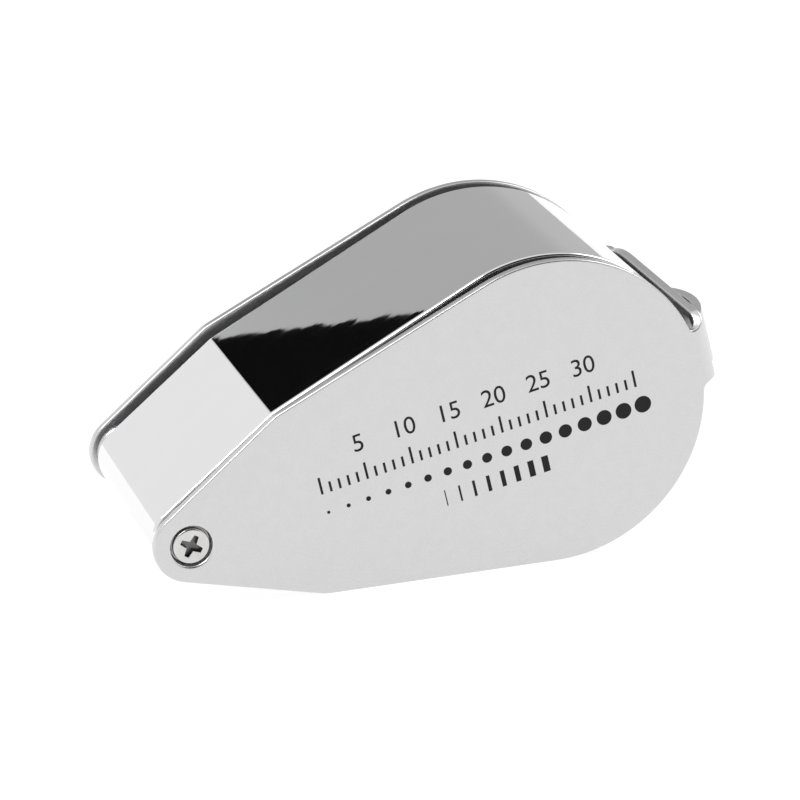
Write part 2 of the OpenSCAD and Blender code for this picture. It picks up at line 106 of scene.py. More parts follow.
class CaseSizes(bpy.types.PropertyGroup):
    """Sizes of the lens case."""
    thick: length("Case thickness", 24.8, "Thickness of the lens case")
    wide_r: length("Wide end radius", 16.6, "Radius of the wide end of the case")
    nose_r: length("Nose radius", 3.55, "Radius of the case round the pivot")
    shoulder_x: length("Shoulder along", 12.05, "Shoulder of the case, along the axis")
    shoulder_z: length("Shoulder across", 9.75, "Shoulder of the case, across the axis")
    crease_r: length("Crease radius", 1.3, "Radius of the crease at the shoulder")
    wall: length("Wall", 1.0, "Wall of the case")
    rim_r: length("Rim rounding", 0.3, "Rounding of both rims")
    open_r: length("Opening radius", 13.6, "Radius of the lens opening")
    bush_r: length("Bush radius", 2.35, "Radius of the pivot bush")
    switch_s: length("Switch place", 9.2, "Place of the switch along the neck flank")
    switch_y: length("Switch depth", 4.6, "Switch centre in front of the middle plane")
    slot_half: length("Slot half width", 1.35, "Half the width of the switch slot")
    slot_reach: length("Slot half length", 3.7, "Half the length of the switch slot")


class MarkSizes(bpy.types.PropertyGroup):
    """Sizes of the comparator marks on the front plate."""
    pitch: length("Pitch", 1.0, "Distance between the fine graduations")
    figure: length("Figure height", 2.0, "Height of the figures")
    line: length("Line width", 0.26, "Width of the graduation lines")
    dots: IntProperty(name="Dots", description="Number of graded dots", default=17, min=3)


class LensColours(bpy.types.PropertyGroup):
    """Colours of the finishes."""
    plate: colour("Cover", (0.625, 0.625, 0.632), "Satin nickel of the cover")
    chrome: colour("Case", (0.80, 0.80, 0.81), "Polished chrome of the case")
    steel: colour("Screws", (0.62, 0.615, 0.61), "Steel of the screws")
    ink: colour("Marks", (0.006, 0.006, 0.007), "Ink of the marks")
    black: colour("Black parts", (0.012, 0.012, 0.013), "Black plastic and anodising")
    board: colour("Board", (0.01, 0.10, 0.045), "Solder mask of the lamp board")


# ---- drawing tools ----

def settings(name):
    """One settings group of the scene, its lengths in millimetres."""
    group = getattr(bpy.context.scene, "handlens_" + name)
    values = {}
    for key in group.bl_rna.properties.keys():
        value = getattr(group, key)
        if isinstance(value, float):
            values[key] = value / MM
        elif isinstance(value, int):
            values[key] = value
    return SimpleNamespace(**values)


def colours():
    """The colours group of the scene."""
    return bpy.context.scene.handlens_colours


def pivot_place():
    """Where the pivot stands in the frame, from its screw."""
    low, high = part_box("pivot_screw")
    return (low.x + high.x) / 2, (low.z + high.z) / 2


def tilt():
    """The lower long flank of the plates lies on the floor."""
    c = settings("cover")
    run = c.reach - c.shoulder_x
    return (math.asin(c.wide_r / math.hypot(run, c.shoulder_z))
            - math.atan2(c.shoulder_z, run))


def stand_matrix():
    """From the drawing, in millimetres about the pivot, to the standing frame."""
    x, z = pivot_place()
    return (Matrix.Translation((x, 0.0, z)) @ Matrix.Rotation(-tilt(), 4, "Y")
            @ Matrix.Scale(MM, 4))


def arc(cx, cz, r, start, end, step=0.35):
    """Points on an arc, both ends among them. Angles are in radians."""
    count = max(2, math.ceil(abs(end - start) * r / step), math.ceil(abs(end - start) / 0.2))
    return [(cx + r * math.cos(start + (end - start) * k / count),
             cz + r * math.sin(start + (end - start) * k / count)) for k in range(count + 1)]


def circle(cx, cz, r, count=96):
    return [(cx + r * math.cos(math.tau * k / count), cz + r * math.sin(math.tau * k / count))
            for k in range(count)]


def rounded(corners, radius, steps=5):
    """A closed outline with an arc of this radius at every corner."""
    outline = []
    for i, corner in enumerate(corners):
        p = Vector(corner)
        a = (Vector(corners[i - 1]) - p).normalized()
        b = (Vector(corners[(i + 1) % len(corners)]) - p).normalized()
        half = a.angle(b) / 2
        centre = p + (a + b).normalized() * radius / math.sin(half)
        first = p + a * radius / math.tan(half) - centre
        last = p + b * radius / math.tan(half) - centre
        start = math.atan2(first.y, first.x)
        turn = (math.atan2(last.y, last.x) - start + math.pi) % math.tau - math.pi
        for k in range(steps + 1):
            angle = start + turn * k / steps
            outline.append((centre.x + radius * math.cos(angle),
                            centre.y + radius * math.sin(angle)))
    return outline


def area(loop):
    return sum(p[0] * q[1] - q[0] * p[1] for p, q in zip(loop, loop[1:] + loop[:1])) / 2


def wound(loop, left):
    """The loop turned so that it runs anticlockwise if left, else clockwise."""
    return loop if (area(loop) > 0) == left else loop[::-1]


def offset(loop, distance):
    """The loop moved to its left by a distance at every point."""
    moved = []
    for i, p in enumerate(loop):
        before, after = loop[i - 1], loop[(i + 1) % len(loop)]
        a = Vector((p[0] - before[0], p[1] - before[1])).normalized()
        b = Vector((after[0] - p[0], after[1] - p[1])).normalized()
        left = Vector((-a.y - b.y, a.x + b.x)).normalized()
        scale = max(0.5, left.dot(Vector((-b.y, b.x))))
        moved.append((p[0] + left.x * distance / scale, p[1] + left.y * distance / scale))
    return moved


def flank_angles(nr, kx, kz, wr, reach):
    """Angles of the outward normals of the neck flank and the long flank."""
    neck = math.atan2(kz, kx) + math.acos(nr / math.hypot(kx, kz))
    long = math.atan2(kz, kx - reach) - math.acos(wr / math.hypot(reach - kx, kz))
    return neck, long


def run(a, b, places, bow=0.002):
    """Points between a and b, at distances from a, or from b where negative. They stand
    out a hair to the left, so that three of them never lie on one line."""
    dx, dz = b[0] - a[0], b[1] - a[1]
    length = math.hypot(dx, dz)
    points = []
    for place in places:
        t = (place if place > 0 else length + place) / length
        out = 4 * bow * t * (1 - t) / length
        points.append((a[0] + t * dx - out * dz, a[1] + t * dz + out * dx))
    return points


def half_teardrop(nr, kx, kz, wr, kr, reach, stop, marks=()):
    """Upper half outline from the nose to the wide end. marks are distances along
    the neck flank, from where it leaves the nose, at which there is a point too."""
    neck, long = flank_angles(nr, kx, kz, wr, reach)
    back = kr / math.cos((neck - long) / 2)
    bx = kx - back * math.cos((neck + long) / 2)
    bz = kz - back * math.sin((neck + long) / 2)
    shoulder = arc(bx, bz, kr, neck, long, 0.1)
    wide = arc(reach, 0.0, wr, long, stop, 0.5)
    points = arc(0.0, 0.0, nr, math.pi, neck, 0.2)
    points += run(points[-1], shoulder[0], (*marks, -0.2)) + shoulder
    return points + run(points[-1], wide[0], (0.2, -0.4)) + wide


def edge_roll(t, r, support=0.12, steps=4):
    """(inset, height) of the rings round a sheet edge, from its upper face to its lower."""
    upper = [(r + support, t / 2)]
    for k in range(steps + 1):
        a = math.pi / 2 * k / steps
        upper.append((r * (1 - math.sin(a)), t / 2 - r * (1 - math.cos(a))))
    return upper + [(inset, -height) for inset, height in reversed(upper)]


def odd_inside(x, z, loops):
    """True if the place is inside an odd number of the loops."""
    odd = False
    for loop in loops:
        ax, az = loop[-1]
        for bx, bz in loop:
            if (az > z) != (bz > z) and x < ax + (z - az) * (bx - ax) / (bz - az):
                odd = not odd
            ax, az = bx, bz
    return odd


class Skin:
    """Points and faces of one closed skin, in the drawing's millimetres."""

    def __init__(self):
        self.points, self.faces = [], []

    def ring(self, points):
        first = len(self.points)
        self.points.extend(points)
        return list(range(first, len(self.points)))

    def strip(self, a, b, skip=()):
        for i in range(len(a)):
            if i not in skip:
                j = (i + 1) % len(a)
                self.faces.append((a[i], a[j], b[j], b[i]))

    def strips(self, rings):
        for a, b in zip(rings, rings[1:]):
            self.strip(a, b)

    def cap(self, rims, place, spots=()):
        """Fills the first rim less the others. A rim is (ring, its flat outline)."""
        flat, ids, edges = [], [], []
        for ring, outline in rims:
            first = len(flat)
            flat += [Vector(p) for p in outline]
            ids += ring
            edges += [(first + i, first + (i + 1) % len(ring)) for i in range(len(ring))]
        loops = [outline for _, outline in rims]
        for spot in spots:
            if odd_inside(spot[0], spot[1], loops):
                flat.append(Vector(spot))
                ids += self.ring([place(*spot)])
        found, _, faces, sources, _, _ = delaunay_2d_cdt(flat, edges, [], 0, 1e-7)
        for face in faces:
            x = sum(found[i].x for i in face) / 3
            z = sum(found[i].y for i in face) / 3
            if odd_inside(x, z, loops):
                if any(not sources[i] for i in face):
                    raise ValueError(f"an outline crosses itself near {x:.2f}, {z:.2f}")
                self.faces.append(tuple(ids[sources[i][0]] for i in face))

    def lathe(self, profile, cx=0.0, cz=0.0, count=96, closed=False):
        """Turns (radius, depth) pairs about an axis along the thickness."""
        rings = []
        for r, y in profile:
            if r == 0:
                rings.append(self.ring([(cx, y, cz)]) * count)
            else:
                rings.append(self.ring([(x, y, z) for x, z in circle(cx, cz, r, count)]))
        if closed:
            rings.append(rings[0])
        self.strips(rings)
        return rings

    def prism(self, outline, levels, place=None):
        """A solid over an outline. levels are (inset, height) pairs."""
        place = place or (lambda x, z, y: (x, y, z))
        outline = wound(outline, True)
        rings, flats = [], []
        for inset, height in levels:
            flat = offset(outline, inset)
            flats.append(flat)
            rings.append(self.ring([place(x, z, height) for x, z in flat]))
        self.strips(rings)
        for k in (0, -1):
            self.cap([(rings[k], flats[k])], lambda x, z, h=levels[k][1]: place(x, z, h))
        return rings


def mesh_object(name, mesh):
    thing = bpy.data.objects.new(name, mesh)
    bpy.context.scene.collection.objects.link(thing)
    return thing


def make(name, skin, material, sharp=50.0, matrix=None, merge=1e-7):
    """A closed mesh from a skin, stood up in the frame."""
    mesh = bpy.data.meshes.new(name)
    faces = [tuple(dict.fromkeys(face)) for face in skin.faces]
    mesh.from_pydata([Vector(p) for p in skin.points], [], [f for f in faces if len(f) > 2])
    mesh.transform(matrix or stand_matrix())
    solid = bmesh.new()
    solid.from_mesh(mesh)
    bmesh.ops.remove_doubles(solid, verts=solid.verts, dist=merge)
    bmesh.ops.recalc_face_normals(solid, faces=solid.faces)
    for face in solid.faces:
        face.smooth = True
    solid.to_mesh(mesh)
    solid.free()
    mesh.set_sharp_from_angle(angle=math.radians(sharp))
    mesh.materials.append(material)
    return mesh_object(name, mesh)


def fit(piece, body, slot, *nodes):
    """Puts a finished piece on its body, in the place of the frame's own solids."""
    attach(piece, body)
    if nodes:
        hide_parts(*nodes)
    return piece


def baked(thing, name):
    """A plain mesh object from what the modifiers of a thing make of it."""
    bpy.context.view_layer.update()
    seen = thing.evaluated_get(bpy.context.evaluated_depsgraph_get())
    mesh = bpy.data.meshes.new_from_object(seen)
    bpy.data.objects.remove(thing)
    mesh.name = name
    return mesh_object(name, mesh)


def joined(name, things):
    """One mesh object from several, which are used up."""
    whole = bmesh.new()
    materials = []
    for thing in things:
        first = len(whole.faces)
        whole.from_mesh(thing.data)
        whole.faces.ensure_lookup_table()
        material = thing.data.materials[0]
        if material not in materials:
            materials.append(material)
        for face in whole.faces[first:]:
            face.material_index = materials.index(material)
    mesh = bpy.data.meshes.new(name)
    whole.to_mesh(mesh)
    whole.free()
    for material in materials:
        mesh.materials.append(material)
    for thing in things:
        bpy.data.objects.remove(thing)
    mesh.set_sharp_from_angle(angle=math.radians(40))
    return mesh_object(name, mesh)


# ---- finishes ----

def node(tree, kind, name, **inputs):
    """A named node with its inputs set or linked."""
    made = tree.nodes.new(kind)
    made.name = made.label = name
    for key, value in inputs.items():
        socket = made.inputs[key.replace("_", " ")]
        if isinstance(value, bpy.types.NodeSocket):
            tree.links.new(value, socket)
        else:
            socket.default_value = value
    return made


FINISHES = {}


def finish(name, tone, rough=(0.3, 0.4), metallic=0.0, patch=400.0, grain=4000.0, bump=0.02,
           spread=0.06, stretch=(1.0, 1.0, 1.0), turn=0.0, wave=0.0, wave_scale=120.0,
           **shader):
    """A finish whose tone and gloss vary in patches, with a fine grain on its surface."""
    if name in FINISHES:
        return FINISHES[name]
    material = FINISHES[name] = bpy.data.materials.new(name + "_finish")
    material.use_nodes = True
    tree = material.node_tree
    tree.nodes.clear()
    place = node(tree, "ShaderNodeTexCoord", "Place").outputs["Object"]
    if turn:
        place = node(tree, "ShaderNodeMapping", "Turned to the piece", Vector=place,
                     Rotation=(0.0, turn, 0.0)).outputs["Vector"]
    turned = node(tree, "ShaderNodeMapping", "Along the piece", Vector=place,
                  Scale=stretch).outputs["Vector"]
    patches = node(tree, "ShaderNodeTexNoise", "Patches", Vector=turned, Scale=patch,
                   Detail=3.0, Roughness=0.55).outputs["Fac"]
    fine = node(tree, "ShaderNodeTexNoise", "Grain", Vector=turned, Scale=grain,
                Detail=2.0).outputs["Fac"]
    tones = node(tree, "ShaderNodeValToRGB", "Tones", Fac=patches)
    ramp = tones.color_ramp.elements
    ramp[0].position, ramp[1].position = 0.3, 0.7
    ramp[0].color = (*[c * (1 - spread) for c in tone], 1)
    ramp[1].color = (*[min(1.0, c * (1 + spread)) for c in tone], 1)
    gloss = node(tree, "ShaderNodeMapRange", "Gloss", Value=fine, From_Min=0.3, From_Max=0.7,
                 To_Min=rough[0], To_Max=rough[1]).outputs["Result"]
    relief = node(tree, "ShaderNodeBump", "Relief", Strength=1.0, Distance=bump * MM,
                  Height=fine).outputs["Normal"]
    if wave:
        swell = node(tree, "ShaderNodeTexNoise", "Swell", Vector=turned, Scale=wave_scale,
                     Detail=1.0).outputs["Fac"]
        relief = node(tree, "ShaderNodeBump", "Waviness", Strength=1.0, Distance=wave * MM,
                      Height=swell, Normal=relief).outputs["Normal"]
    surface = node(tree, "ShaderNodeBsdfPrincipled", "Surface", Base_Color=tones.outputs[0],
                   Metallic=metallic, Roughness=gloss, Normal=relief, **shader)
    node(tree, "ShaderNodeOutputMaterial", "Output", Surface=surface.outputs["BSDF"])
    return material


def satin_plate():
    return finish("satin_plate", colours().plate, rough=(0.26, 0.34), metallic=1.0,
                  patch=900, grain=14000, bump=0.0012, spread=0.012)


def case_chrome():
    """Polished chrome with fine polishing lines that run along the long flank."""
    return finish("case_chrome", colours().chrome, rough=(0.008, 0.03), metallic=1.0,
                  patch=300, grain=2600, bump=0.0005, spread=0.008, stretch=(0.06, 1.0, 1.0),
                  turn=2 * tilt(), wave=0.006, wave_scale=260)


def screw_steel():
    return finish("screw_steel", colours().steel, rough=(0.16, 0.3), metallic=1.0, patch=900,
                  grain=9000, bump=0.002, spread=0.05)


def satin_case():
    return finish("satin_case", colours().chrome, rough=(0.14, 0.2), metallic=1.0, patch=700,
                  grain=9000, bump=0.001, spread=0.012)


def black_plastic():
    return finish("black_plastic", colours().black, rough=(0.34, 0.5), patch=600, grain=7000,
                  bump=0.014, spread=0.2, Coat_Weight=0.1, Coat_Roughness=0.3)


def black_anodised():
    return finish("black_anodised", colours().black, rough=(0.3, 0.42), metallic=0.6,
                  patch=900, grain=11000, bump=0.004, spread=0.2)


def nylon():
    return finish("black_nylon", (0.02, 0.02, 0.021), rough=(0.4, 0.55), patch=500, grain=5000,
                  bump=0.01, spread=0.15)


def brass():
    return finish("turned_brass", (0.62, 0.44, 0.20), rough=(0.16, 0.3), metallic=1.0,
                  patch=900, grain=7000, bump=0.002, spread=0.06, stretch=(1.0, 12.0, 1.0))


def contact_metal():
    return finish("sprung_brass", (0.72, 0.56, 0.30), rough=(0.2, 0.32), metallic=1.0,
                  patch=700, grain=8000, bump=0.002, spread=0.06, stretch=(0.2, 1.0, 1.0))


def plated_steel():
    return finish("plated_steel", (0.52, 0.52, 0.50), rough=(0.24, 0.4), metallic=1.0,
                  patch=600, grain=6000, bump=0.004, spread=0.08)


def cell_steel():
    return finish("cell_steel", (0.66, 0.66, 0.65), rough=(0.14, 0.26), metallic=1.0,
                  patch=500, grain=9000, bump=0.002, spread=0.04)


def board_green():
    return finish("board_green", colours().board, rough=(0.25, 0.38), patch=1500, grain=9000,
                  bump=0.006, spread=0.25, Coat_Weight=0.4, Coat_Roughness=0.15)


def chip_black():
    return finish("chip_black", (0.016, 0.016, 0.017), rough=(0.3, 0.5), patch=1500,
                  grain=12000, bump=0.006, spread=0.3)


def wire_red():
    return finish("wire_red", (0.50, 0.018, 0.014), rough=(0.35, 0.5), patch=900, grain=6000,
                  bump=0.006, spread=0.15)


def wire_black():
    return finish("wire_black", (0.014, 0.014, 0.015), rough=(0.35, 0.5), patch=900,
                  grain=6000, bump=0.006, spread=0.3)


def lens_glass():
    return finish("lens_glass", (0.97, 0.985, 0.98), rough=(0.0, 0.012), patch=60, grain=300,
                  bump=0.0, spread=0.006, Transmission_Weight=1.0, IOR=1.52)


def lamp_clear():
    return finish("lamp_clear", (0.96, 0.96, 0.94), rough=(0.02, 0.06), patch=300, grain=2500,
                  bump=0.002, spread=0.01, Transmission_Weight=1.0, IOR=1.5)


def lamp_violet():
    return finish("lamp_violet", (0.62, 0.42, 0.92), rough=(0.02, 0.06), patch=300, grain=2500,
                  bump=0.002, spread=0.03, Transmission_Weight=1.0, IOR=1.5)


def ink():
    return finish("black_ink", colours().ink, rough=(0.35, 0.5), patch=900, grain=16000,
                  bump=0.002, spread=0.25, Specular_IOR_Level=0.25)


# ---- cover ----

# radius of the fillet from the plate to the neck, at the upper and the lower edge
FILLET = {1: 0.45, -1: 1.1}


def cover_halves(front):
    """Upper and lower edges of half the flat pattern, from a nose to the middle of the web,
    as (along, across). The web rises in the front fold itself, past it on the lower edge,
    and more gently at the back."""
    c = settings("cover")
    halves = []
    for side in (1, -1):
        neck = c.neck_half + side * c.web_rise
        web = c.web_half + side * c.web_rise
        inner_r = FILLET[side]
        cz = neck + inner_r
        cx = c.reach + math.sqrt((c.wide_r + inner_r) ** 2 - cz ** 2)
        stop = math.atan2(cz, cx - c.reach)
        points = half_teardrop(c.nose_r, c.shoulder_x, c.shoulder_z, c.wide_r, c.shoulder_r,
                               c.reach, stop, (3.0, 6.0, 9.0))
        points += arc(cx, cz, inner_r, stop + math.pi, 1.5 * math.pi, 0.08)
        first, climb = cx, 2.2
        if not front:
            first, climb = c.web_x + 0.54, 6.4
        elif side < 0:
            first, climb = c.web_x - 0.1, 1.6
        if first > cx:
            step = 0.22
            bends = [step * k for k in range(1, int((first - cx) / step))]
            points += run(points[-1], (first, neck), bends)
        for k in range(13):
            t = k / 12
            share = t * t * (3 - 2 * t) if front else t * (2 - t)
            points.append((first + climb * t, neck + (web - neck) * share))
        halves.append([(x, side * z) for x, z in points])
    return halves


def cover_fold():
    """The function that folds the pattern, with the place of its fold, middle and loop."""
    c = settings("cover")
    hy = c.thick / 2 - FACE_INSET
    t = c.sheet - FACE_INSET
    mean_r = c.bend_r - t / 2
    start = c.web_x - c.bend_r
    end = start + mean_r * math.pi / 2
    middle = end + hy - c.bend_r
    loop_at = end + (c.loop_y - FACE_INSET - c.bend_r)
    radius = ((c.loop_len / 2) ** 2 + c.loop_rise ** 2) / (2 * c.loop_rise)

    def lift(u, z):
        """How far the loop stands off the web here."""
        s = abs(u - loop_at)
        if s > c.loop_len / 2 + 0.6 or abs(z - c.web_rise) > c.loop_half + 0.02:
            return 0.0
        peak = math.sqrt(radius ** 2 - min(s, c.loop_len / 2) ** 2) - radius + c.loop_rise
        foot = max(0.0, c.loop_len / 2 + 0.6 - s)
        return min(peak, peak * foot / 1.2 + 0.22 * foot) if s > c.loop_len / 2 - 0.6 else peak

    def folded(u, z, h):
        """From the flat pattern to the folded sheet. h is the height over its middle."""
        side = 1 if u > middle else -1
        along = min(u, 2 * middle - u)
        if along <= start:
            return along, side * (hy - t / 2 + h), z
        if along <= end:
            a = (along - start) / mean_r
            return (start + math.sin(a) * (mean_r + h),
                    side * (hy - c.bend_r + math.cos(a) * (mean_r + h)), z)
        return c.web_x - t / 2 + h + lift(u, z), side * (hy - c.bend_r - along + end), z

    return folded, start, end, middle, loop_at, hy, t


def cover_sheet():
    """The folded sheet, with the slits of its loop and its pressed cups."""
    c = settings("cover")
    folded, start, end, middle, loop_at, hy, t = cover_fold()
    upper, lower = cover_halves(True)
    far_upper, far_lower = cover_halves(False)
    loop = upper + [(2 * middle - u, z) for u, z in reversed(far_upper)]
    loop += [(2 * middle - u, z) for u, z in far_lower] + lower[::-1]
    loop = [p for i, p in enumerate(loop)
            if math.hypot(p[0] - loop[i - 1][0], p[1] - loop[i - 1][1]) > 1e-4]
    loop = wound(loop, True)
    slits = []
    for side in (1, -1):
        inner = c.web_rise + side * c.loop_half
        outer = inner + side * 0.16
        half = c.loop_len / 2
        near, far = loop_at - half, loop_at + half
        steps = [2 * half * k / 26 for k in range(1, 26)]
        bow = side * 0.002
        line = [(near, inner)] + run((near, inner), (far, inner), steps, bow) + [(far, inner)]
        line += [(far, outer)] + run((far, outer), (near, outer), steps, bow) + [(near, outer)]
        slits.append(wound(line, False))

    skin = Skin()
    caps = {1: [], -1: []}
    roll = edge_roll(t, c.edge_r)
    slit_roll = edge_roll(t, 0.1, 0.06)
    for outline, profile in [(loop, roll)] + [(slit, slit_roll) for slit in slits]:
        rings = []
        for inset, height in profile:
            flat = offset(outline, inset)
            rings.append(skin.ring([folded(u, z, height) for u, z in flat]))
            if inset == profile[0][0]:
                caps[1 if height > 0 else -1].append((rings[-1], flat))
        skin.strips(rings)
    for back in (0, 1):
        hole = 1.8 if back else 1.1
        deep = c.cup_depth + c.cup_floor
        r = c.cup_r
        profile = [(r + 0.5, 0), (r + 0.24, 0), (r + 0.12, 0.03), (r + 0.04, 0.1), (r, 0.2),
                   (r, 0.28), (r, c.cup_depth - 0.12), (r - 0.04, c.cup_depth - 0.03),
                   (r - 0.14, c.cup_depth), (hole + 0.05, c.cup_depth),
                   (hole, c.cup_depth + 0.05), (hole, deep - 0.05), (hole + 0.05, deep),
                   (2.65, deep), (2.8, deep - 0.03), (2.88, deep - 0.12), (2.9, deep - 0.2),
                   (2.9, c.sheet + 0.25), (2.93, c.sheet + 0.1), (3.03, c.sheet),
                   (3.25, t)]
        rings = []
        for radius, depth in profile:
            y = (hy - depth) if back else -(hy - depth)
            rings.append(skin.ring([(x, y, z) for x, z in circle(0, 0, radius, 64)]))
        skin.strips(rings)
        for side, ring, radius in ((1, rings[0], r + 0.5), (-1, rings[-1], 3.25)):
            flat = [((2 * middle - x) if back else x, z) for x, z in circle(0, 0, radius, 64)]
            caps[side].append((ring, flat))
    spots = []
    for k in range(13):
        u = start - 0.3 + (end - start + 0.9) * k / 12
        for j in range(-10, 11):
            for uu in (u, 2 * middle - u):
                spots.append((uu, c.web_rise + j * 0.42))
    for k in range(33):
        u = loop_at - c.loop_len / 2 - 0.6 + (c.loop_len + 1.2) * k / 32
        for j in (-2.6, -1.3, 0.0, 1.3, 2.6):
            spots.append((u, c.web_rise + j))
    for side in (1, -1):
        skin.cap(caps[side], lambda u, z, h=side * t / 2: folded(u, z, h), spots)
    piece = make("folded_cover", skin, satin_plate(), sharp=60)
    return fit(piece, "cover", "cover_chrome", "cover_shell")


# ---- lens case ----

def case_outline(marks=()):
    """The outline of the case, mirrored about its axis."""
    c, cover = settings("case"), settings("cover")
    upper = half_teardrop(c.nose_r, c.shoulder_x, c.shoulder_z, c.wide_r, c.crease_r,
                          cover.reach, 0.0, marks)
    return [(x, -z) for x, z in upper] + upper[::-1][1:-1]


def lens_case():
    """The pressed case with its switch slot, open at the back."""
    c, cover = settings("case"), settings("cover")
    cy, r = c.thick / 2, c.rim_r
    marks = (3.0, c.switch_s - c.slot_half, c.switch_s + c.slot_half)
    outline = wound(case_outline(marks), True)
    neck = flank_angles(c.nose_r, c.shoulder_x, c.shoulder_z, c.wide_r, cover.reach)[0]
    slot_x = (c.nose_r * math.cos(neck) + marks[1] * math.sin(neck),
              -c.nose_r * math.sin(neck) + marks[1] * math.cos(neck))
    slot = min(range(len(outline)), key=lambda i: math.hypot(outline[i][0] - slot_x[0],
                                                             outline[i][1] - slot_x[1]))
    slot_low, slot_high = -c.switch_y - c.slot_reach, -c.switch_y + c.slot_reach
    bends = [(r * (1 - math.sin(a)), r * (1 - math.cos(a)))
             for a in (math.pi / 2 * k / 5 for k in range(6))]
    outside = [(r + 0.2, -cy)] + [(i, -cy + h) for i, h in bends] + [(0, -cy + r + 0.2)]
    outside += [(0, slot_low), (0, slot_high), (0, cy - r - 0.2)]
    outside += [(i, cy - h) for i, h in reversed(bends)]
    outside += [(c.wall - 0.12, cy), (c.wall - 0.04, cy - 0.04), (c.wall, cy - 0.12)]
    inside = [(c.wall, cy - 0.4), (c.wall, slot_high), (c.wall, slot_low),
              (c.wall, -cy + c.wall + 0.15), (c.wall + 0.15, -cy + c.wall)]
    levels = outside + inside
    skin = Skin()
    rings, flats = [], []
    for inset, y in levels:
        flat = offset(outline, inset)
        flats.append(flat)
        rings.append(skin.ring([(x, y, z) for x, z in flat]))
    holes = {}
    for k, (inset, y) in enumerate(levels[:-1]):
        band = {levels[k][1], levels[k + 1][1]}
        skip = (slot,) if band == {slot_low, slot_high} else ()
        skin.strip(rings[k], rings[k + 1], skip)
        if skip:
            holes[inset] = (rings[k], rings[k + 1])
    (low_out, high_out), (high_in, low_in) = holes[0], holes[c.wall]
    i, j = slot, slot + 1
    around = [(low_out[i], low_in[i]), (low_out[j], low_in[j]), (high_out[j], high_in[j]),
              (high_out[i], high_in[i])]
    for a, b in zip(around, around[1:] + around[:1]):
        skin.faces.append((a[0], b[0], b[1], a[1]))
    front, back = [], []
    for x, radius, count in ((cover.reach, c.open_r, 160), (0.0, c.bush_r + 0.01, 64)):
        flat = circle(x, 0, radius, count)
        wall = [skin.ring([(px, y, pz) for px, pz in flat])
                for y in (-cy, -cy + c.wall)]
        skin.strips(wall)
        front.append((wall[0], flat))
        back.append((wall[1], flat))
    skin.cap([(rings[0], flats[0])] + front, None)
    skin.cap([(rings[-1], flats[-1])] + back, None)
    piece = make("lens_case_shell", skin, case_chrome(), sharp=60)
    return fit(piece, "lens_unit", "case_chrome", "lens_case")


# ---- pivot ----

def cross_outline(arm, half, turn, cx=0.0, cz=0.0):
    corners = []
    for k in range(4):
        a = k * math.pi / 2
        for x, z in ((half * 1.25, half * 1.25), (arm, half * 0.8), (arm, -half * 0.8)):
            corners.append((x * math.cos(a) + z * math.sin(a), -x * math.sin(a) + z * math.cos(a)))
    ring = rounded(corners, half * 0.3, 4)
    return [(cx + x * math.cos(turn) - z * math.sin(turn),
             cz + x * math.sin(turn) + z * math.cos(turn)) for x, z in ring]


def cross_screw(skin, y, side, head_r, head_h, arm, half, deep, turn, below, cx=0.0, cz=0.0):
    """A screw with a cross recess. y is the outer face; side is -1 at the front. below
    are the (radius, depth) pairs of the rest of it, from under the head."""
    def at(depth):
        return y - side * depth

    bevel = min(0.22, head_h * 0.5)
    edge = [(head_r - bevel * 1.5, 0.0)]
    edge += [(head_r - bevel * (1 - math.sin(a)), bevel * (1 - math.cos(a)))
             for a in (math.pi / 2 * k / 4 for k in range(5))]
    edge += [(head_r, bevel + 0.06), (head_r, head_h - 0.04), (head_r - 0.04, head_h)] + below
    rings = []
    for radius, depth in edge:
        if radius == 0:
            rings.append(skin.ring([(cx, at(depth), cz)]) * 64)
        else:
            rings.append(skin.ring([(x, at(depth), z)
                                    for x, z in circle(cx, cz, radius, 64)]))
    skin.strips(rings)
    outline = wound(cross_outline(arm, half, turn, cx, cz), False)
    walls, flats = [], []
    for inset, depth in ((half * 0.2, 0.0), (half * 0.06, 0.015), (0.0, 0.06),
                         (-half * 0.1, deep * 0.6), (-half * 0.18, deep)):
        flat = offset(outline, inset)
        flats.append(flat)
        walls.append(skin.ring([(x, at(depth), z) for x, z in flat]))
    skin.strips(walls)
    skin.cap([(rings[0], circle(cx, cz, edge[0][0], 64)), (walls[0], flats[0])], None)
    skin.cap([(walls[-1], flats[-1])], None)


def shade_recess(piece, face, deep, reach):
    """Gives the walls of a recess about the pivot their own rougher finish, with a dark tone that
    is painted shade inside the recess.
    """
    centre = stand_matrix() @ Vector((0, 0, 0))
    # the dark steel tone of this finish is painted shade in the cross recess, its roughness real
    piece.data.materials.append(finish("recess_painted_shade", (0.16, 0.16, 0.165), rough=(0.3, 0.45),
                                       metallic=1.0, patch=900, grain=9000))
    for wall in piece.data.polygons:
        spot = wall.center
        below = spot.y / MM - face
        away = math.hypot(spot.x - centre.x, spot.z - centre.z) / MM
        if 0.012 < below < deep and away < reach:
            wall.material_index = 1


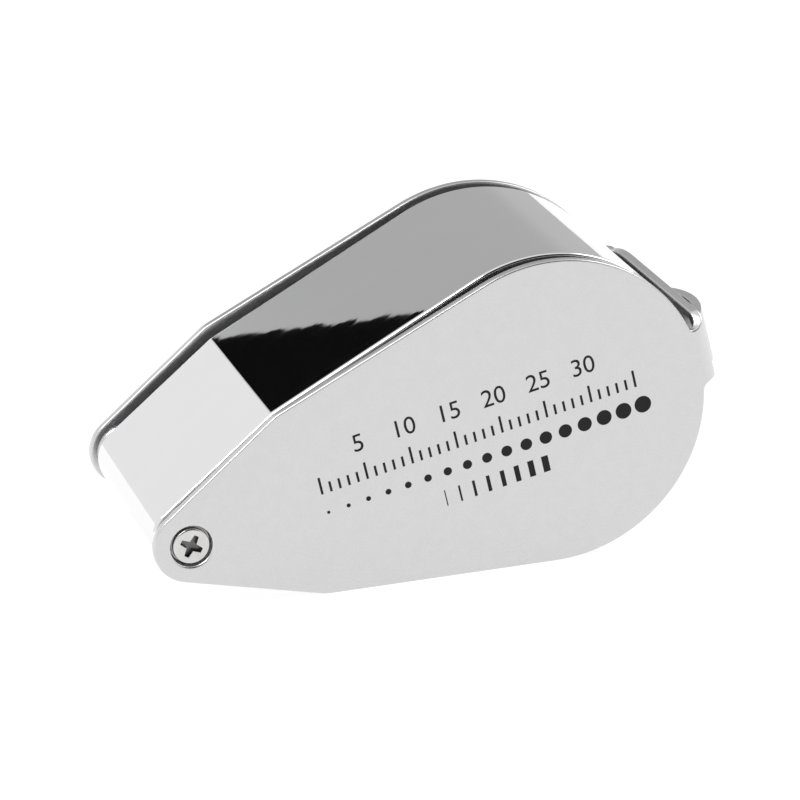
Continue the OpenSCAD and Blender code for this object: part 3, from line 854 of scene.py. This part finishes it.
def pivot_hardware():
    """The cross-head screw in front and the slotted barrel behind."""
    c = settings("cover")
    hy = c.thick / 2
    skin = Skin()
    cross_screw(skin, -hy + 0.1, -1, 1.95, 1.0, 1.2, 0.3, 0.6, math.radians(-42),
                [(1.05, 1.0), (1.0, 1.1), (1.0, 11.6), (0.8, 11.9), (0.0, 11.9)])
    screw = make("pivot_screw_head", skin, screw_steel(), sharp=40)
    shade_recess(screw, -hy + 0.1, 0.7, 1.3)
    fit(screw, "cover", "screw_steel", "pivot_screw")

    skin = Skin()
    boss = hy - c.cup_depth - c.cup_floor
    skin.lathe([(1.02, -boss), (1.7, -boss), (1.75, -boss + 0.05),
                (1.75, hy - c.cup_depth - 0.02), (1.8, hy - c.cup_depth), (1.91, hy - c.cup_depth),
                (1.95, hy - c.cup_depth + 0.04), (1.95, hy - 0.42), (1.93, hy - 0.3),
                (1.86, hy - 0.18), (1.72, hy - 0.11), (1.6, hy - 0.1), (0.0, hy - 0.1)],
               count=72)
    skin.lathe([(1.02, -boss), (1.02, hy - 3.0), (0.0, hy - 2.6)], count=72)
    barrel = make("pivot_barrel_turned", skin, screw_steel(), sharp=40, merge=1e-7)
    slot = Skin()
    slot.prism(rounded([(-3, -0.3), (3, -0.3), (3, 0.3), (-3, 0.3)], 0.02, 2),
               [(0, hy - 0.6), (0, hy + 1)])
    cutter = make("barrel_slot_cutter", slot, screw_steel())
    carve = barrel.modifiers.new("Driver slot", "BOOLEAN")
    carve.operation, carve.solver, carve.object = "DIFFERENCE", "EXACT", cutter
    barrel = baked(barrel, "pivot_barrel_head")
    bpy.data.objects.remove(cutter)
    barrel.data.set_sharp_from_angle(angle=math.radians(40))
    fit(barrel, "cover", "screw_steel", "pivot_barrel")


# ---- node-made patterns ----

def coated(thing, material):
    """The thing with this one material all over."""
    thing.data.materials.clear()
    thing.data.materials.append(material)
    for face in thing.data.polygons:
        face.material_index = 0
    return thing


class Pattern:
    """A node tree with named inputs that ends in Realize Instances and Set Material."""

    def __init__(self, name, inputs):
        self.tree = bpy.data.node_groups.new(name, "GeometryNodeTree")
        self.tree.interface.new_socket("Geometry", in_out="INPUT",
                                       socket_type="NodeSocketGeometry")
        kinds = {int: "NodeSocketInt", float: "NodeSocketFloat"}
        self.sockets = {label: self.tree.interface.new_socket(
            label, in_out="INPUT", socket_type=kinds[type(value)])
            for label, value in inputs.items()}
        self.values = inputs
        self.tree.interface.new_socket("Geometry", in_out="OUTPUT",
                                       socket_type="NodeSocketGeometry")
        self.given = self.tree.nodes.new("NodeGroupInput")

    def __getitem__(self, label):
        return self.given.outputs[label]

    def add(self, kind, inputs=(), **options):
        made = self.tree.nodes.new(kind)
        for key, value in options.items():
            setattr(made, key, value)
        for key, value in dict(inputs).items():
            socket = made.inputs[key]
            if isinstance(value, bpy.types.NodeSocket):
                self.tree.links.new(value, socket)
            else:
                socket.default_value = value
        return made.outputs[0]

    def sum(self, operation, a, b=0.0):
        return self.add("ShaderNodeMath", {0: a, 1: b}, operation=operation)

    def vector(self, x=0.0, y=0.0, z=0.0):
        return self.add("ShaderNodeCombineXYZ", {"X": x, "Y": y, "Z": z})

    def bake(self, instances, material, name, start=None):
        """Realizes the instances on a mesh object and returns the plain result."""
        real = self.add("GeometryNodeRealizeInstances", {0: instances})
        shown = self.add("GeometryNodeSetMaterial", {"Geometry": real, "Material": material})
        out = self.tree.nodes.new("NodeGroupOutput")
        self.tree.links.new(shown, out.inputs[0])
        host = mesh_object(name + "_points", start or bpy.data.meshes.new(name + "_points"))
        modifier = host.modifiers.new(self.tree.name, "NODES")
        modifier.node_group = self.tree
        for label, socket in self.sockets.items():
            modifier[socket.identifier] = self.values[label]
        return coated(baked(host, name), material)


def tidy_mesh(thing, matrix, sharp=40.0):
    """Merges a baked mesh, points it outwards and puts it in its place."""
    solid = bmesh.new()
    solid.from_mesh(thing.data)
    bmesh.ops.remove_doubles(solid, verts=solid.verts, dist=1e-5)
    bmesh.ops.recalc_face_normals(solid, faces=solid.faces)
    for face in solid.faces:
        face.smooth = True
    solid.to_mesh(thing.data)
    solid.free()
    thing.data.transform(matrix)
    thing.data.set_sharp_from_angle(angle=math.radians(sharp))
    return thing


# ---- solids from outlines ----

def sheet_solid(skin, outline, holes, low, high, r=0.08, support=0.04):
    """A flat part between two depths with rolled edges, open at its holes."""
    t, middle = high - low, (high + low) / 2
    caps = {1: [], -1: []}
    profile = edge_roll(t, r, support, 3)
    for loop, left in [(outline, True)] + [(hole, False) for hole in holes]:
        loop = wound(loop, left)
        rings = []
        for inset, height in profile:
            flat = offset(loop, inset)
            rings.append(skin.ring([(x, middle + height, z) for x, z in flat]))
            if inset == profile[0][0]:
                caps[1 if height > 0 else -1].append((rings[-1], flat))
        skin.strips(rings)
    for side in (1, -1):
        skin.cap(caps[side], None)


def repeated(name, shape, places, material):
    """Copies of a mesh object at places in the drawing, made by nodes into one mesh."""
    p = Pattern(name + "_set", {"Size": 1.0})
    copy = p.add("GeometryNodeObjectInfo", {"Object": shape})
    copy = copy.node.outputs["Geometry"]
    placed = p.add("GeometryNodeInstanceOnPoints", {
        "Points": p.given.outputs["Geometry"], "Instance": copy,
        "Scale": p.vector(p["Size"], p["Size"], p["Size"])})
    points = bpy.data.meshes.new(name + "_places")
    points.from_pydata(places, [], [])
    piece = p.bake(placed, material, name, points)
    bpy.data.objects.remove(shape)
    return piece


# ---- lens unit: back plate, screws and battery hatch ----

SCREW_PLACES = ((4.7, 0.0), (25.6, 9.5), (25.6, -9.5))
SCREW_HOLE_R, LAMP_HOLE_R = 1.25, 2.6
LAMP_X, LAMP_Z, CELL_X = 22.6, 4.6, 13.4
HATCH_SCREW, HATCH_CORNER = 7, 0.45
HATCH = ((-5.4, -5.6), (5.5, -5.6), (5.5, -1.7), (8.4, -1.7), (8.4, 1.7), (5.5, 1.7),
         (5.5, 5.6), (-5.4, 5.6))


def hatch_outline(grow):
    """The outline of the battery hatch, grown all round for the hole it closes."""
    corners = [(CELL_X + x, z) for x, z in HATCH]
    return offset(wound(rounded(corners, HATCH_CORNER, 5), True), -grow)


def case_back():
    """The plate that closes the back of the case."""
    c, cover = settings("case"), settings("cover")
    cy = c.thick / 2
    outline = offset(wound(case_outline(), True), c.wall + 0.05)
    holes = [circle(cover.reach, 0, c.open_r, 160), circle(0, 0, c.bush_r + 0.01, 64),
             hatch_outline(0.05)]
    holes += [circle(LAMP_X, side * LAMP_Z, LAMP_HOLE_R, 56) for side in (1, -1)]
    holes += [circle(x, z, SCREW_HOLE_R, 40) for x, z in SCREW_PLACES]
    skin = Skin()
    sheet_solid(skin, outline, holes, cy - c.wall, cy - FACE_INSET, 0.03, 0.02)
    plate = make("case_back_plate", skin, satin_case(), sharp=50)
    fit(plate, "lens_unit", "case_chrome", "case_cover")


def case_screw_set():
    """The three case screws and the screw of the hatch."""
    cy = settings("case").thick / 2
    skin = Skin()
    cross_screw(skin, cy + 0.25, 1, 1.15, 0.7, 0.72, 0.17, 0.36, math.radians(35),
                [(0.72, 0.7), (0.7, 0.75), (0.7, 5.0), (0.5, 5.25), (0.0, 5.25)])
    one = make("case_screw_shape", skin, screw_steel(), sharp=40, matrix=Matrix.Identity(4),
               merge=1e-5)
    screws = repeated("case_screw_heads", one, [(x, 0, z) for x, z in SCREW_PLACES],
                      screw_steel())
    tidy_mesh(screws, stand_matrix())
    fit(screws, "lens_unit", "screw_steel", "case_screws")

    skin = Skin()
    cross_screw(skin, cy + 0.2, 1, 1.0, 0.65, 0.62, 0.15, 0.32, math.radians(15),
                [(0.62, 0.65), (0.6, 0.7), (0.6, 4.6), (0.4, 4.8), (0.0, 4.8)],
                CELL_X + HATCH_SCREW, 0.0)
    screw = make("battery_screw_head", skin, screw_steel(), sharp=40)
    fit(screw, "lens_unit", "screw_steel", "battery_screw")


def battery_hatch():
    """The battery hatch with its finger ribs."""
    cy = settings("case").thick / 2
    skin = Skin()
    sheet_solid(skin, hatch_outline(0.0), [circle(CELL_X + HATCH_SCREW, 0, 1.1, 40)],
                cy - 0.95, cy - 0.05, 0.1)
    lid = make("battery_hatch_lid", skin, black_plastic(), sharp=50)
    rib = Skin()
    rib.prism(rounded([(-3.4, -0.25), (3.4, -0.25), (3.4, 0.25), (-3.4, 0.25)], 0.2, 4),
              [(0, cy - 0.15), (0, cy + 0.05), (0.04, cy + 0.12), (0.12, cy + 0.15)])
    one = make("hatch_rib_shape", rib, black_plastic(), matrix=Matrix.Identity(4), merge=1e-5)
    places = [(CELL_X, 0, side * (2.6 + 1.0 * i)) for side in (-1, 1) for i in (-1, 0, 1)]
    ribs = tidy_mesh(repeated("hatch_ribs", one, places, black_plastic()), stand_matrix())
    hatch = joined("battery_hatch", [lid, ribs])
    fit(hatch, "lens_unit", "black_plastic", "battery_cover")


# ---- lens unit: optics ----

def bezel(side):
    """A screwed-in bezel with a stepped mouth and a knurled edge."""
    c, cover = settings("case"), settings("cover")
    face = c.thick / 2 + 0.5
    bore, flange, tube = 11.9, 14.36, c.open_r - 0.04
    profile = [(12.86, 0.05), (12.95, 0.0), (flange - 0.14, 0.0), (flange - 0.04, 0.04),
               (flange, 0.13), (flange, 0.4), (flange - 0.04, 0.5), (tube, 0.5), (tube, 1.5),
               (bore + 0.05, 1.5), (bore, 1.45), (bore, 1.0)]
    for k in range(1, 5):
        profile += [(bore + 0.19 * k, 1.0 - 0.19 * (k - 1)), (bore + 0.19 * k, 1.0 - 0.19 * k)]
    skin = Skin()
    skin.lathe([(r, side * (face - depth)) for r, depth in profile], cover.reach, 0.0, 160,
               closed=True)
    ring = make("bezel_ring", skin, black_anodised(), sharp=30)

    p = Pattern("Knurl", {"Count": 110, "Radius": flange - 0.04, "Rib": 0.36})
    points = p.add("GeometryNodeMeshCircle", {"Vertices": p["Count"], "Radius": p["Radius"]})
    rib = p.add("GeometryNodeMeshCube", {"Size": p.vector(0.34, 0.42, p["Rib"])})
    angle = p.sum("DIVIDE", p.sum("MULTIPLY", p.add("GeometryNodeInputIndex"), math.tau),
                  p["Count"])
    placed = p.add("GeometryNodeInstanceOnPoints", {"Points": points, "Instance": rib,
                                                    "Rotation": p.vector(0.0, 0.0, angle)})
    knurl = p.bake(placed, black_anodised(), "bezel_knurl")
    turn = Matrix(((1, 0, 0, cover.reach), (0, 0, -1, side * (face - 0.25)), (0, 1, 0, 0),
                   (0, 0, 0, 1)))
    tidy_mesh(knurl, stand_matrix() @ turn, 30)
    name = "eye_bezel" if side < 0 else "field_bezel"
    fit(joined(name + "_knurled", [ring, knurl]), "lens_unit", "black_anodised", name)


def lens(name, front, back, radius):
    """A lens with spherical faces of one radius, its vertices at two depths."""
    rim = 12.5
    edge = radius - math.sqrt(radius ** 2 - rim ** 2)
    profile = []
    for k in range(25):
        r = (rim - 0.12) * k / 24
        profile.append((r, front + radius - math.sqrt(radius ** 2 - r ** 2)))
    profile += [(rim - 0.02, front + edge + 0.1), (rim - 0.02, back - edge - 0.1)]
    for k in range(24, -1, -1):
        r = (rim - 0.12) * k / 24
        profile.append((r, back - radius + math.sqrt(radius ** 2 - r ** 2)))
    skin = Skin()
    skin.lathe(profile, settings("cover").reach, 0.0, 128)
    glass = make(name + "_polished", skin, lens_glass(), sharp=35)
    fit(glass, "lens_unit", "lens_glass", name)


def optics():
    """Both bezels, and both lenses at the depths of the frame's own."""
    for side in (-1, 1):
        bezel(side)
    low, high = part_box("eye_lens")
    lens("eye_lens", low.y / MM, high.y / MM, 36.0)
    low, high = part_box("field_lens")
    lens("field_lens", low.y / MM, high.y / MM, 40.0)


# ---- lens unit: lamps and switch ----

def lamps():
    """The clear and the violet lamp with their leads."""
    floor = 1.5
    tip = settings("case").thick / 2 - 0.15
    for name, side, clear in (("led_white", 1, lamp_clear()), ("led_uv", -1, lamp_violet())):
        z = side * LAMP_Z
        base = floor + 0.2
        profile = [(0.0, base), (2.8, base), (2.88, base + 0.06), (2.9, base + 0.15),
                   (2.9, base + 0.95), (2.86, base + 1.06), (2.78, base + 1.1),
                   (2.56, base + 1.12), (2.5, base + 1.2)]
        for k in range(13):
            a = math.pi / 2 * k / 12
            profile.append((2.5 * math.cos(a) if k < 12 else 0.0,
                            tip - 2.5 + 2.5 * math.sin(a)))
        skin = Skin()
        skin.lathe(profile, LAMP_X, z, 56)
        skin.points = [(min(x, LAMP_X + 2.52), y, pz) for x, y, pz in skin.points]
        body = make(name + "_body", skin, clear, sharp=35)
        fit(body, "lens_unit", "lamp_clear" if side > 0 else "lamp_violet", name)

        wires = Skin()
        for dx, top in ((-1.27, base + 4.4), (1.27, base + 4.0)):
            square = rounded([(LAMP_X + dx - 0.22, z - 0.22), (LAMP_X + dx + 0.22, z - 0.22),
                              (LAMP_X + dx + 0.22, z + 0.22), (LAMP_X + dx - 0.22, z + 0.22)],
                             0.06, 2)
            wires.prism(square, [(0.05, floor - 3.4), (0, floor - 3.3), (0, top)])
        cup_y = base + 4.4
        wires.lathe([(0.0, cup_y - 0.5), (1.0, cup_y - 0.45), (1.35, cup_y + 0.5),
                     (1.25, cup_y + 0.5), (0.75, cup_y - 0.1), (0.0, cup_y - 0.1)],
                    LAMP_X - 0.35, z, 32)
        leads = make(name + "_leads", wires, screw_steel(), sharp=35)
        fit(leads, "lens_unit", "screw_steel")


def switch_knob():
    """The ribbed sliding knob in its slot."""
    c, cover = settings("case"), settings("cover")
    neck = flank_angles(c.nose_r, c.shoulder_x, c.shoulder_z, c.wide_r, cover.reach)[0]
    beta = neck - math.pi / 2
    place = Matrix.Translation((c.nose_r * math.cos(neck) + c.switch_s * math.sin(neck),
                                -c.switch_y,
                                -c.nose_r * math.sin(neck) + c.switch_s * math.cos(neck)))
    turn = stand_matrix() @ place @ Matrix.Rotation(beta, 4, "Y")

    def block(skin, half_x, half_y, levels):
        """A rounded block over the switch slot. levels are (inset, height) pairs."""
        corners = [(-half_x, -half_y), (half_x, -half_y), (half_x, half_y), (-half_x, half_y)]
        skin.prism(rounded(corners, 0.15, 4), levels, lambda x, y, h: (x, y, h))

    skin = Skin()
    for half_x, half_y, levels in (
            (1.04, 1.89, [(0.1, 1.5), (0, 1.4), (0, -0.5), (0.03, -0.54), (0.1, -0.56)]),
            (1.69, 2.89, [(0.05, 1.21), (0, 1.26), (0, 1.6), (0.05, 1.64)]),
            (0.64, 0.59, [(0.05, 3.1), (0, 3.0), (0, 1.35)])):
        block(skin, half_x, half_y, levels)
    base = make("knob_base", skin, black_plastic(), sharp=40, matrix=turn)
    rib = Skin()
    block(rib, 0.99, 0.2, [(0, -0.5), (0, -0.66), (0.05, -0.75), (0.11, -0.79)])
    one = make("knob_rib_shape", rib, black_plastic(), matrix=Matrix.Identity(4), merge=1e-5)
    places = [(0, 0.68 * (i - 2.5), 0) for i in range(6)]
    ribs = tidy_mesh(repeated("knob_ribs", one, places, black_plastic()), turn)
    knob = joined("switch_knob", [base, ribs])
    fit(knob, "switch", "knob_plastic", "switch_slider")


# ---- finishes of the parts inside ----

def inner_finishes():
    """Finishes for the parts whose shape comes straight from the frame."""
    coats = {
        "front_washer": nylon(), "back_washer": nylon(), "inner_frame": black_plastic(),
        "pivot_bush": brass(), "lens_barrel": black_anodised(),
        "lens_spacer": black_anodised(), "field_ring": black_anodised(),
        "led_board": board_green(), "board_resistors": chip_black(),
        "switch_housing": plated_steel(), "cell_1": cell_steel(), "cell_2": cell_steel(),
        "cell_3": cell_steel(), "contact_neg": contact_metal(),
        "contact_pos": contact_metal(), "red_wire": wire_red(), "black_wire": wire_black()}
    for name, coat in coats.items():
        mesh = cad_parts[name].data
        if mesh.materials:
            mesh.materials[0] = coat
        else:
            mesh.materials.append(coat)


# ---- comparator marks ----

INK_LOW, INK_HIGH = -0.012, 0.012
ROW_TILT = math.radians(-1.4)


def on_front(x, z):
    """From a row drawn flat to its place on the front plate."""
    hy = settings("cover").thick / 2 - FACE_INSET
    c, s = math.cos(ROW_TILT), math.sin(ROW_TILT)
    return stand_matrix() @ Matrix(((c, -s, 0, x), (0, 0, -1, -hy), (s, c, 0, z), (0, 0, 0, 1)))


def graduations(count, pitch, line, short, tall):
    """A row of lines, every fifth one taller, hanging from a common base."""
    p = Pattern("Graduations", {"Count": count, "Pitch": pitch, "Line width": line,
                                "Short line": short, "Tall line": tall})
    row = p.add("GeometryNodeMeshLine", {"Count": p["Count"], "Offset": p.vector(p["Pitch"])})
    bar = p.add("GeometryNodeMeshCube", {"Size": p.vector(p["Line width"], 1.0,
                                                         INK_HIGH - INK_LOW)})
    bar = p.add("GeometryNodeTransform", {"Geometry": bar, "Translation": (
        0.0, 0.5, (INK_HIGH + INK_LOW) / 2)})
    fifth = p.sum("COMPARE", p.sum("MODULO", p.add("GeometryNodeInputIndex"), 5.0), 0.0)
    tall_more = p.sum("MULTIPLY", fifth, p.sum("SUBTRACT", p["Tall line"], p["Short line"]))
    height = p.sum("ADD", p["Short line"], tall_more)
    placed = p.add("GeometryNodeInstanceOnPoints", {
        "Points": row, "Instance": bar, "Scale": p.vector(1.0, height, 1.0)})
    return p.bake(placed, ink(), "graduations")


def graded(name, count, pitch, smallest, largest, bar_height=0.0):
    """A row of dots, or of bars of one height, that grow along it."""
    p = Pattern(name, {"Count": count, "Pitch": pitch, "Smallest": smallest,
                       "Largest": largest, "Bar height": bar_height})
    row = p.add("GeometryNodeMeshLine", {"Count": p["Count"], "Offset": p.vector(p["Pitch"])})
    depth = INK_HIGH - INK_LOW
    if bar_height:
        shape = p.add("GeometryNodeMeshCube", {"Size": p.vector(1.0, p["Bar height"], depth)})
    else:
        shape = p.add("GeometryNodeMeshCylinder", {"Vertices": 28, "Radius": 0.5,
                                                   "Depth": depth})
    shape = p.add("GeometryNodeTransform", {"Geometry": shape, "Translation": (
        0.0, 0.0, (INK_HIGH + INK_LOW) / 2)})
    step = p.sum("DIVIDE", p.sum("SUBTRACT", p["Largest"], p["Smallest"]),
                 p.sum("SUBTRACT", p["Count"], 1.0))
    size = p.sum("ADD", p["Smallest"],
                 p.sum("MULTIPLY", p.add("GeometryNodeInputIndex"), step))
    scale = p.vector(size, 1.0 if bar_height else size, 1.0)
    placed = p.add("GeometryNodeInstanceOnPoints", {"Points": row, "Instance": shape,
                                                    "Scale": scale})
    return p.bake(placed, ink(), name)


def figure(text, height):
    """A figure as a thin solid, centred on its own place."""
    curve = bpy.data.curves.new("figure_" + text, "FONT")
    curve.body, curve.size = text, height / 0.729
    curve.align_x, curve.align_y = "CENTER", "CENTER"
    curve.extrude, curve.resolution_u = (INK_HIGH - INK_LOW) / 2, 6
    curve.materials.append(ink())
    return baked(mesh_object("figure_" + text, curve), "figure_" + text)


def comparator_marks():
    """Figures, millimetre lines, graded dots and graded bars on the front plate."""
    m = settings("marks")
    rows = [tidy_mesh(graduations(36, m.pitch, m.line, 1.15, 1.9), on_front(14.5, 0.45)),
            tidy_mesh(graded("graded_dots", m.dots, 2.2, 0.35, 1.85), on_front(14.6, -1.7)),
            tidy_mesh(graded("graded_bars", 8, 1.6, 0.12, 0.75, 1.8), on_front(26.9, -4.85))]
    for k in range(1, 7):
        x = 14.5 + 5 * k * m.pitch
        rows.append(tidy_mesh(figure(str(5 * k), m.figure), on_front(x, 4.15 - 0.024 * (x - 32))))
    marks = joined("comparator_marks", rows)
    fit(marks, "cover", "cover_chrome")


# ---- studio ----

CAMERA_PLACE = (-0.1103, -0.3646, 0.1579)
CAMERA_AIM = (-0.0009, -0.0005, 0.0147)
CAMERA_ROLL = math.radians(-1.5)
CAMERA_LENS = 171.6


# how far along the near rim the flag is mirrored, and how far past the crease and the rims
FLAG_REACH, FLAG_MARGIN = 20.0, 1.0
FLAG_DISTANCE = 0.10


def dark_flag():
    """A black three-cornered flag behind the lens. The long flank mirrors it from the whole
    of the crease down to a point on the near rim."""
    c, cover = settings("case"), settings("cover")
    angle = flank_angles(c.nose_r, c.shoulder_x, c.shoulder_z, c.wide_r, cover.reach)[1]
    stand = stand_matrix()
    across = (stand.to_3x3() @ Vector((math.cos(angle), 0, math.sin(angle)))).normalized()
    half = c.thick / 2 + FLAG_MARGIN
    corners = []
    for along, depth in ((-FLAG_MARGIN, half), (FLAG_REACH, -half), (-FLAG_MARGIN, -half)):
        place = stand @ Vector((c.shoulder_x + along * math.sin(angle), depth,
                                c.shoulder_z - along * math.cos(angle)))
        ray = (place - Vector(CAMERA_PLACE)).normalized().reflect(across)
        corners.append(place + ray * (FLAG_DISTANCE - place.y) / ray.y)
    mesh = bpy.data.meshes.new("studio_flag")
    mesh.from_pydata(corners, [], [tuple(range(len(corners)))])
    mesh.materials.append(finish("black_velvet", (0.005, 0.005, 0.005), rough=(0.8, 0.95),
                                 patch=40.0, grain=900.0, bump=0.1, spread=0.3,
                                 Specular_IOR_Level=0.0))
    flag = mesh_object("studio_flag", mesh)
    flag.visible_camera = flag.visible_diffuse = flag.visible_shadow = False


def studio():
    """Camera, floor, flag, surroundings and both softboxes."""
    scene = bpy.context.scene
    data = bpy.data.cameras.new("studio_camera")
    data.lens, data.sensor_width = CAMERA_LENS, 36.0
    data.clip_start = 0.01
    camera = bpy.data.objects.new("studio_camera", data)
    aim = (Vector(CAMERA_AIM) - Vector(CAMERA_PLACE)).to_track_quat("-Z", "Y").to_matrix()
    camera.matrix_world = (Matrix.Translation(CAMERA_PLACE) @ aim.to_4x4()
                           @ Matrix.Rotation(CAMERA_ROLL, 4, "Z"))
    scene.collection.objects.link(camera)
    scene.camera = camera
    scene.view_settings.view_transform = "Standard"

    side = 3.0
    ground = bpy.data.meshes.new("studio_floor")
    ground.from_pydata([(-side, -side, 0), (side, -side, 0), (side, side, 0), (-side, side, 0)],
                       [], [(0, 1, 2, 3)])
    pale = finish("pale_floor", (0.15, 0.15, 0.15), rough=(0.6, 0.7), patch=2.0, grain=300.0,
                  bump=0.0, spread=0.004, Emission_Color=(1, 1, 1, 1), Emission_Strength=0.9)
    ground.materials.append(pale)
    floor = mesh_object("studio_floor", ground)

    world = bpy.data.worlds.new("studio_world")
    scene.world = world
    world.use_nodes = True
    tree = world.node_tree
    tree.nodes.clear()
    dark_flag()
    facing = node(tree, "ShaderNodeTexCoord", "Direction").outputs["Generated"]

    def lobe(name, direction, inner, outer):
        """1 near a direction, 0 away from it. Angles are in degrees."""
        spot = tree.nodes.new("ShaderNodeVectorMath")
        spot.operation, spot.name = "DOT_PRODUCT", name
        tree.links.new(facing, spot.inputs[0])
        spot.inputs[1].default_value = Vector(direction).normalized()
        soft = node(tree, "ShaderNodeMapRange", name + " edge", Value=spot.outputs["Value"],
                    From_Min=math.cos(math.radians(outer)),
                    From_Max=math.cos(math.radians(inner)))
        soft.interpolation_type = "SMOOTHSTEP"
        return soft.outputs["Result"]

    shade = None
    for name, direction, inner, outer, value in (
            ("Pale wall to the right", (0.62, 0.72, 0.20), 34, 50, 0.55),
            ("Grey wall behind", (0.12, 0.885, 0.43), 14, 23, 0.48),
            ("Dark room in front", (0.1, -0.85, 0.62), 25, 42, 0.03)):
        mix = tree.nodes.new("ShaderNodeMix")
        mix.data_type, mix.name = "FLOAT", name + " tone"
        tree.links.new(lobe(name, direction, inner, outer), mix.inputs[0])
        if shade is None:
            mix.inputs[2].default_value = 0.95
        else:
            tree.links.new(shade, mix.inputs[2])
        mix.inputs[3].default_value = value
        shade = mix.outputs[0]
    light = node(tree, "ShaderNodeBackground", "Studio light", Strength=shade)
    light.inputs["Color"].default_value = (1, 1, 1, 1)
    node(tree, "ShaderNodeOutputWorld", "Output", Surface=light.outputs[0])

    for name, place, size, power in (("key_softbox", (-0.5, -0.25, 0.75), 0.5, 5.0),
                                     ("fill_softbox", (0.6, 0.1, 0.55), 0.4, 2.0)):
        lamp = bpy.data.lights.new(name, "AREA")
        lamp.shape, lamp.size, lamp.energy = "SQUARE", size, power
        thing = bpy.data.objects.new(name, lamp)
        thing.matrix_world = (Matrix.Translation(place)
                              @ (-Vector(place)).to_track_quat("-Z", "Y").to_matrix().to_4x4())
        scene.collection.objects.link(thing)


# ---- operators ----

class HANDLENS_OT_cover(bpy.types.Operator):
    """Folds the sheet cover from its flat pattern"""
    bl_idname = "handlens.cover"
    bl_label = "Folded cover"

    def execute(self, context):
        cover_sheet()
        return {"FINISHED"}


class HANDLENS_OT_case(bpy.types.Operator):
    """Forms the case of the lens unit"""
    bl_idname = "handlens.case"
    bl_label = "Lens case"

    def execute(self, context):
        lens_case()
        return {"FINISHED"}


class HANDLENS_OT_pivot(bpy.types.Operator):
    """Turns the pivot screw and its barrel"""
    bl_idname = "handlens.pivot"
    bl_label = "Pivot screw and barrel"

    def execute(self, context):
        pivot_hardware()
        return {"FINISHED"}


class HANDLENS_OT_marks(bpy.types.Operator):
    """Lays the comparator marks into the front plate"""
    bl_idname = "handlens.marks"
    bl_label = "Comparator marks"

    def execute(self, context):
        comparator_marks()
        return {"FINISHED"}


class HANDLENS_OT_back(bpy.types.Operator):
    """Makes the back plate of the case with its screws and hatch"""
    bl_idname = "handlens.back"
    bl_label = "Case back, screws and battery hatch"

    def execute(self, context):
        case_back()
        case_screw_set()
        battery_hatch()
        return {"FINISHED"}


class HANDLENS_OT_optics(bpy.types.Operator):
    """Grinds both lenses and turns their bezels"""
    bl_idname = "handlens.optics"
    bl_label = "Lenses and bezels"

    def execute(self, context):
        optics()
        return {"FINISHED"}


class HANDLENS_OT_lamps(bpy.types.Operator):
    """Makes both lamps and the switch knob"""
    bl_idname = "handlens.lamps"
    bl_label = "Lamps and switch"

    def execute(self, context):
        lamps()
        switch_knob()
        return {"FINISHED"}


class HANDLENS_OT_inside(bpy.types.Operator):
    """Finishes the parts inside the case"""
    bl_idname = "handlens.inside"
    bl_label = "Inner finishes"

    def execute(self, context):
        inner_finishes()
        return {"FINISHED"}


class HANDLENS_OT_studio(bpy.types.Operator):
    """Sets the floor, the light and the camera"""
    bl_idname = "handlens.studio"
    bl_label = "Studio"

    def execute(self, context):
        studio()
        return {"FINISHED"}


STEPS = (HANDLENS_OT_cover, HANDLENS_OT_case, HANDLENS_OT_pivot, HANDLENS_OT_marks,
         HANDLENS_OT_back, HANDLENS_OT_optics, HANDLENS_OT_lamps, HANDLENS_OT_inside,
         HANDLENS_OT_studio)
GROUPS = {"cover": CoverSizes, "case": CaseSizes, "marks": MarkSizes, "colours": LensColours}


class HANDLENS_PT_sidebar(bpy.types.Panel):
    """Sizes and steps of the hand lens"""
    bl_idname = "HANDLENS_PT_sidebar"
    bl_label = "Hand Lens"
    bl_space_type = "VIEW_3D"
    bl_region_type = "UI"
    bl_category = "Hand Lens"

    def draw(self, context):
        for name in GROUPS:
            group = getattr(context.scene, "handlens_" + name)
            box = self.layout.box()
            box.label(text=name.capitalize())
            for key in group.__annotations__:
                box.prop(group, key)
        for step in STEPS:
            self.layout.operator(step.bl_idname)


CLASSES = (*GROUPS.values(), *STEPS, HANDLENS_PT_sidebar)


def register():
    for cls in CLASSES:
        bpy.utils.register_class(cls)
    for name, group in GROUPS.items():
        setattr(bpy.types.Scene, "handlens_" + name, PointerProperty(type=group))


def unregister():
    for name in GROUPS:
        delattr(bpy.types.Scene, "handlens_" + name)
    for cls in reversed(CLASSES):
        bpy.utils.unregister_class(cls)


def main():
    register()
    for step in STEPS:
        group, name = step.bl_idname.split(".")
        getattr(getattr(bpy.ops, group), name)()


if __name__ == "__main__":
    main()
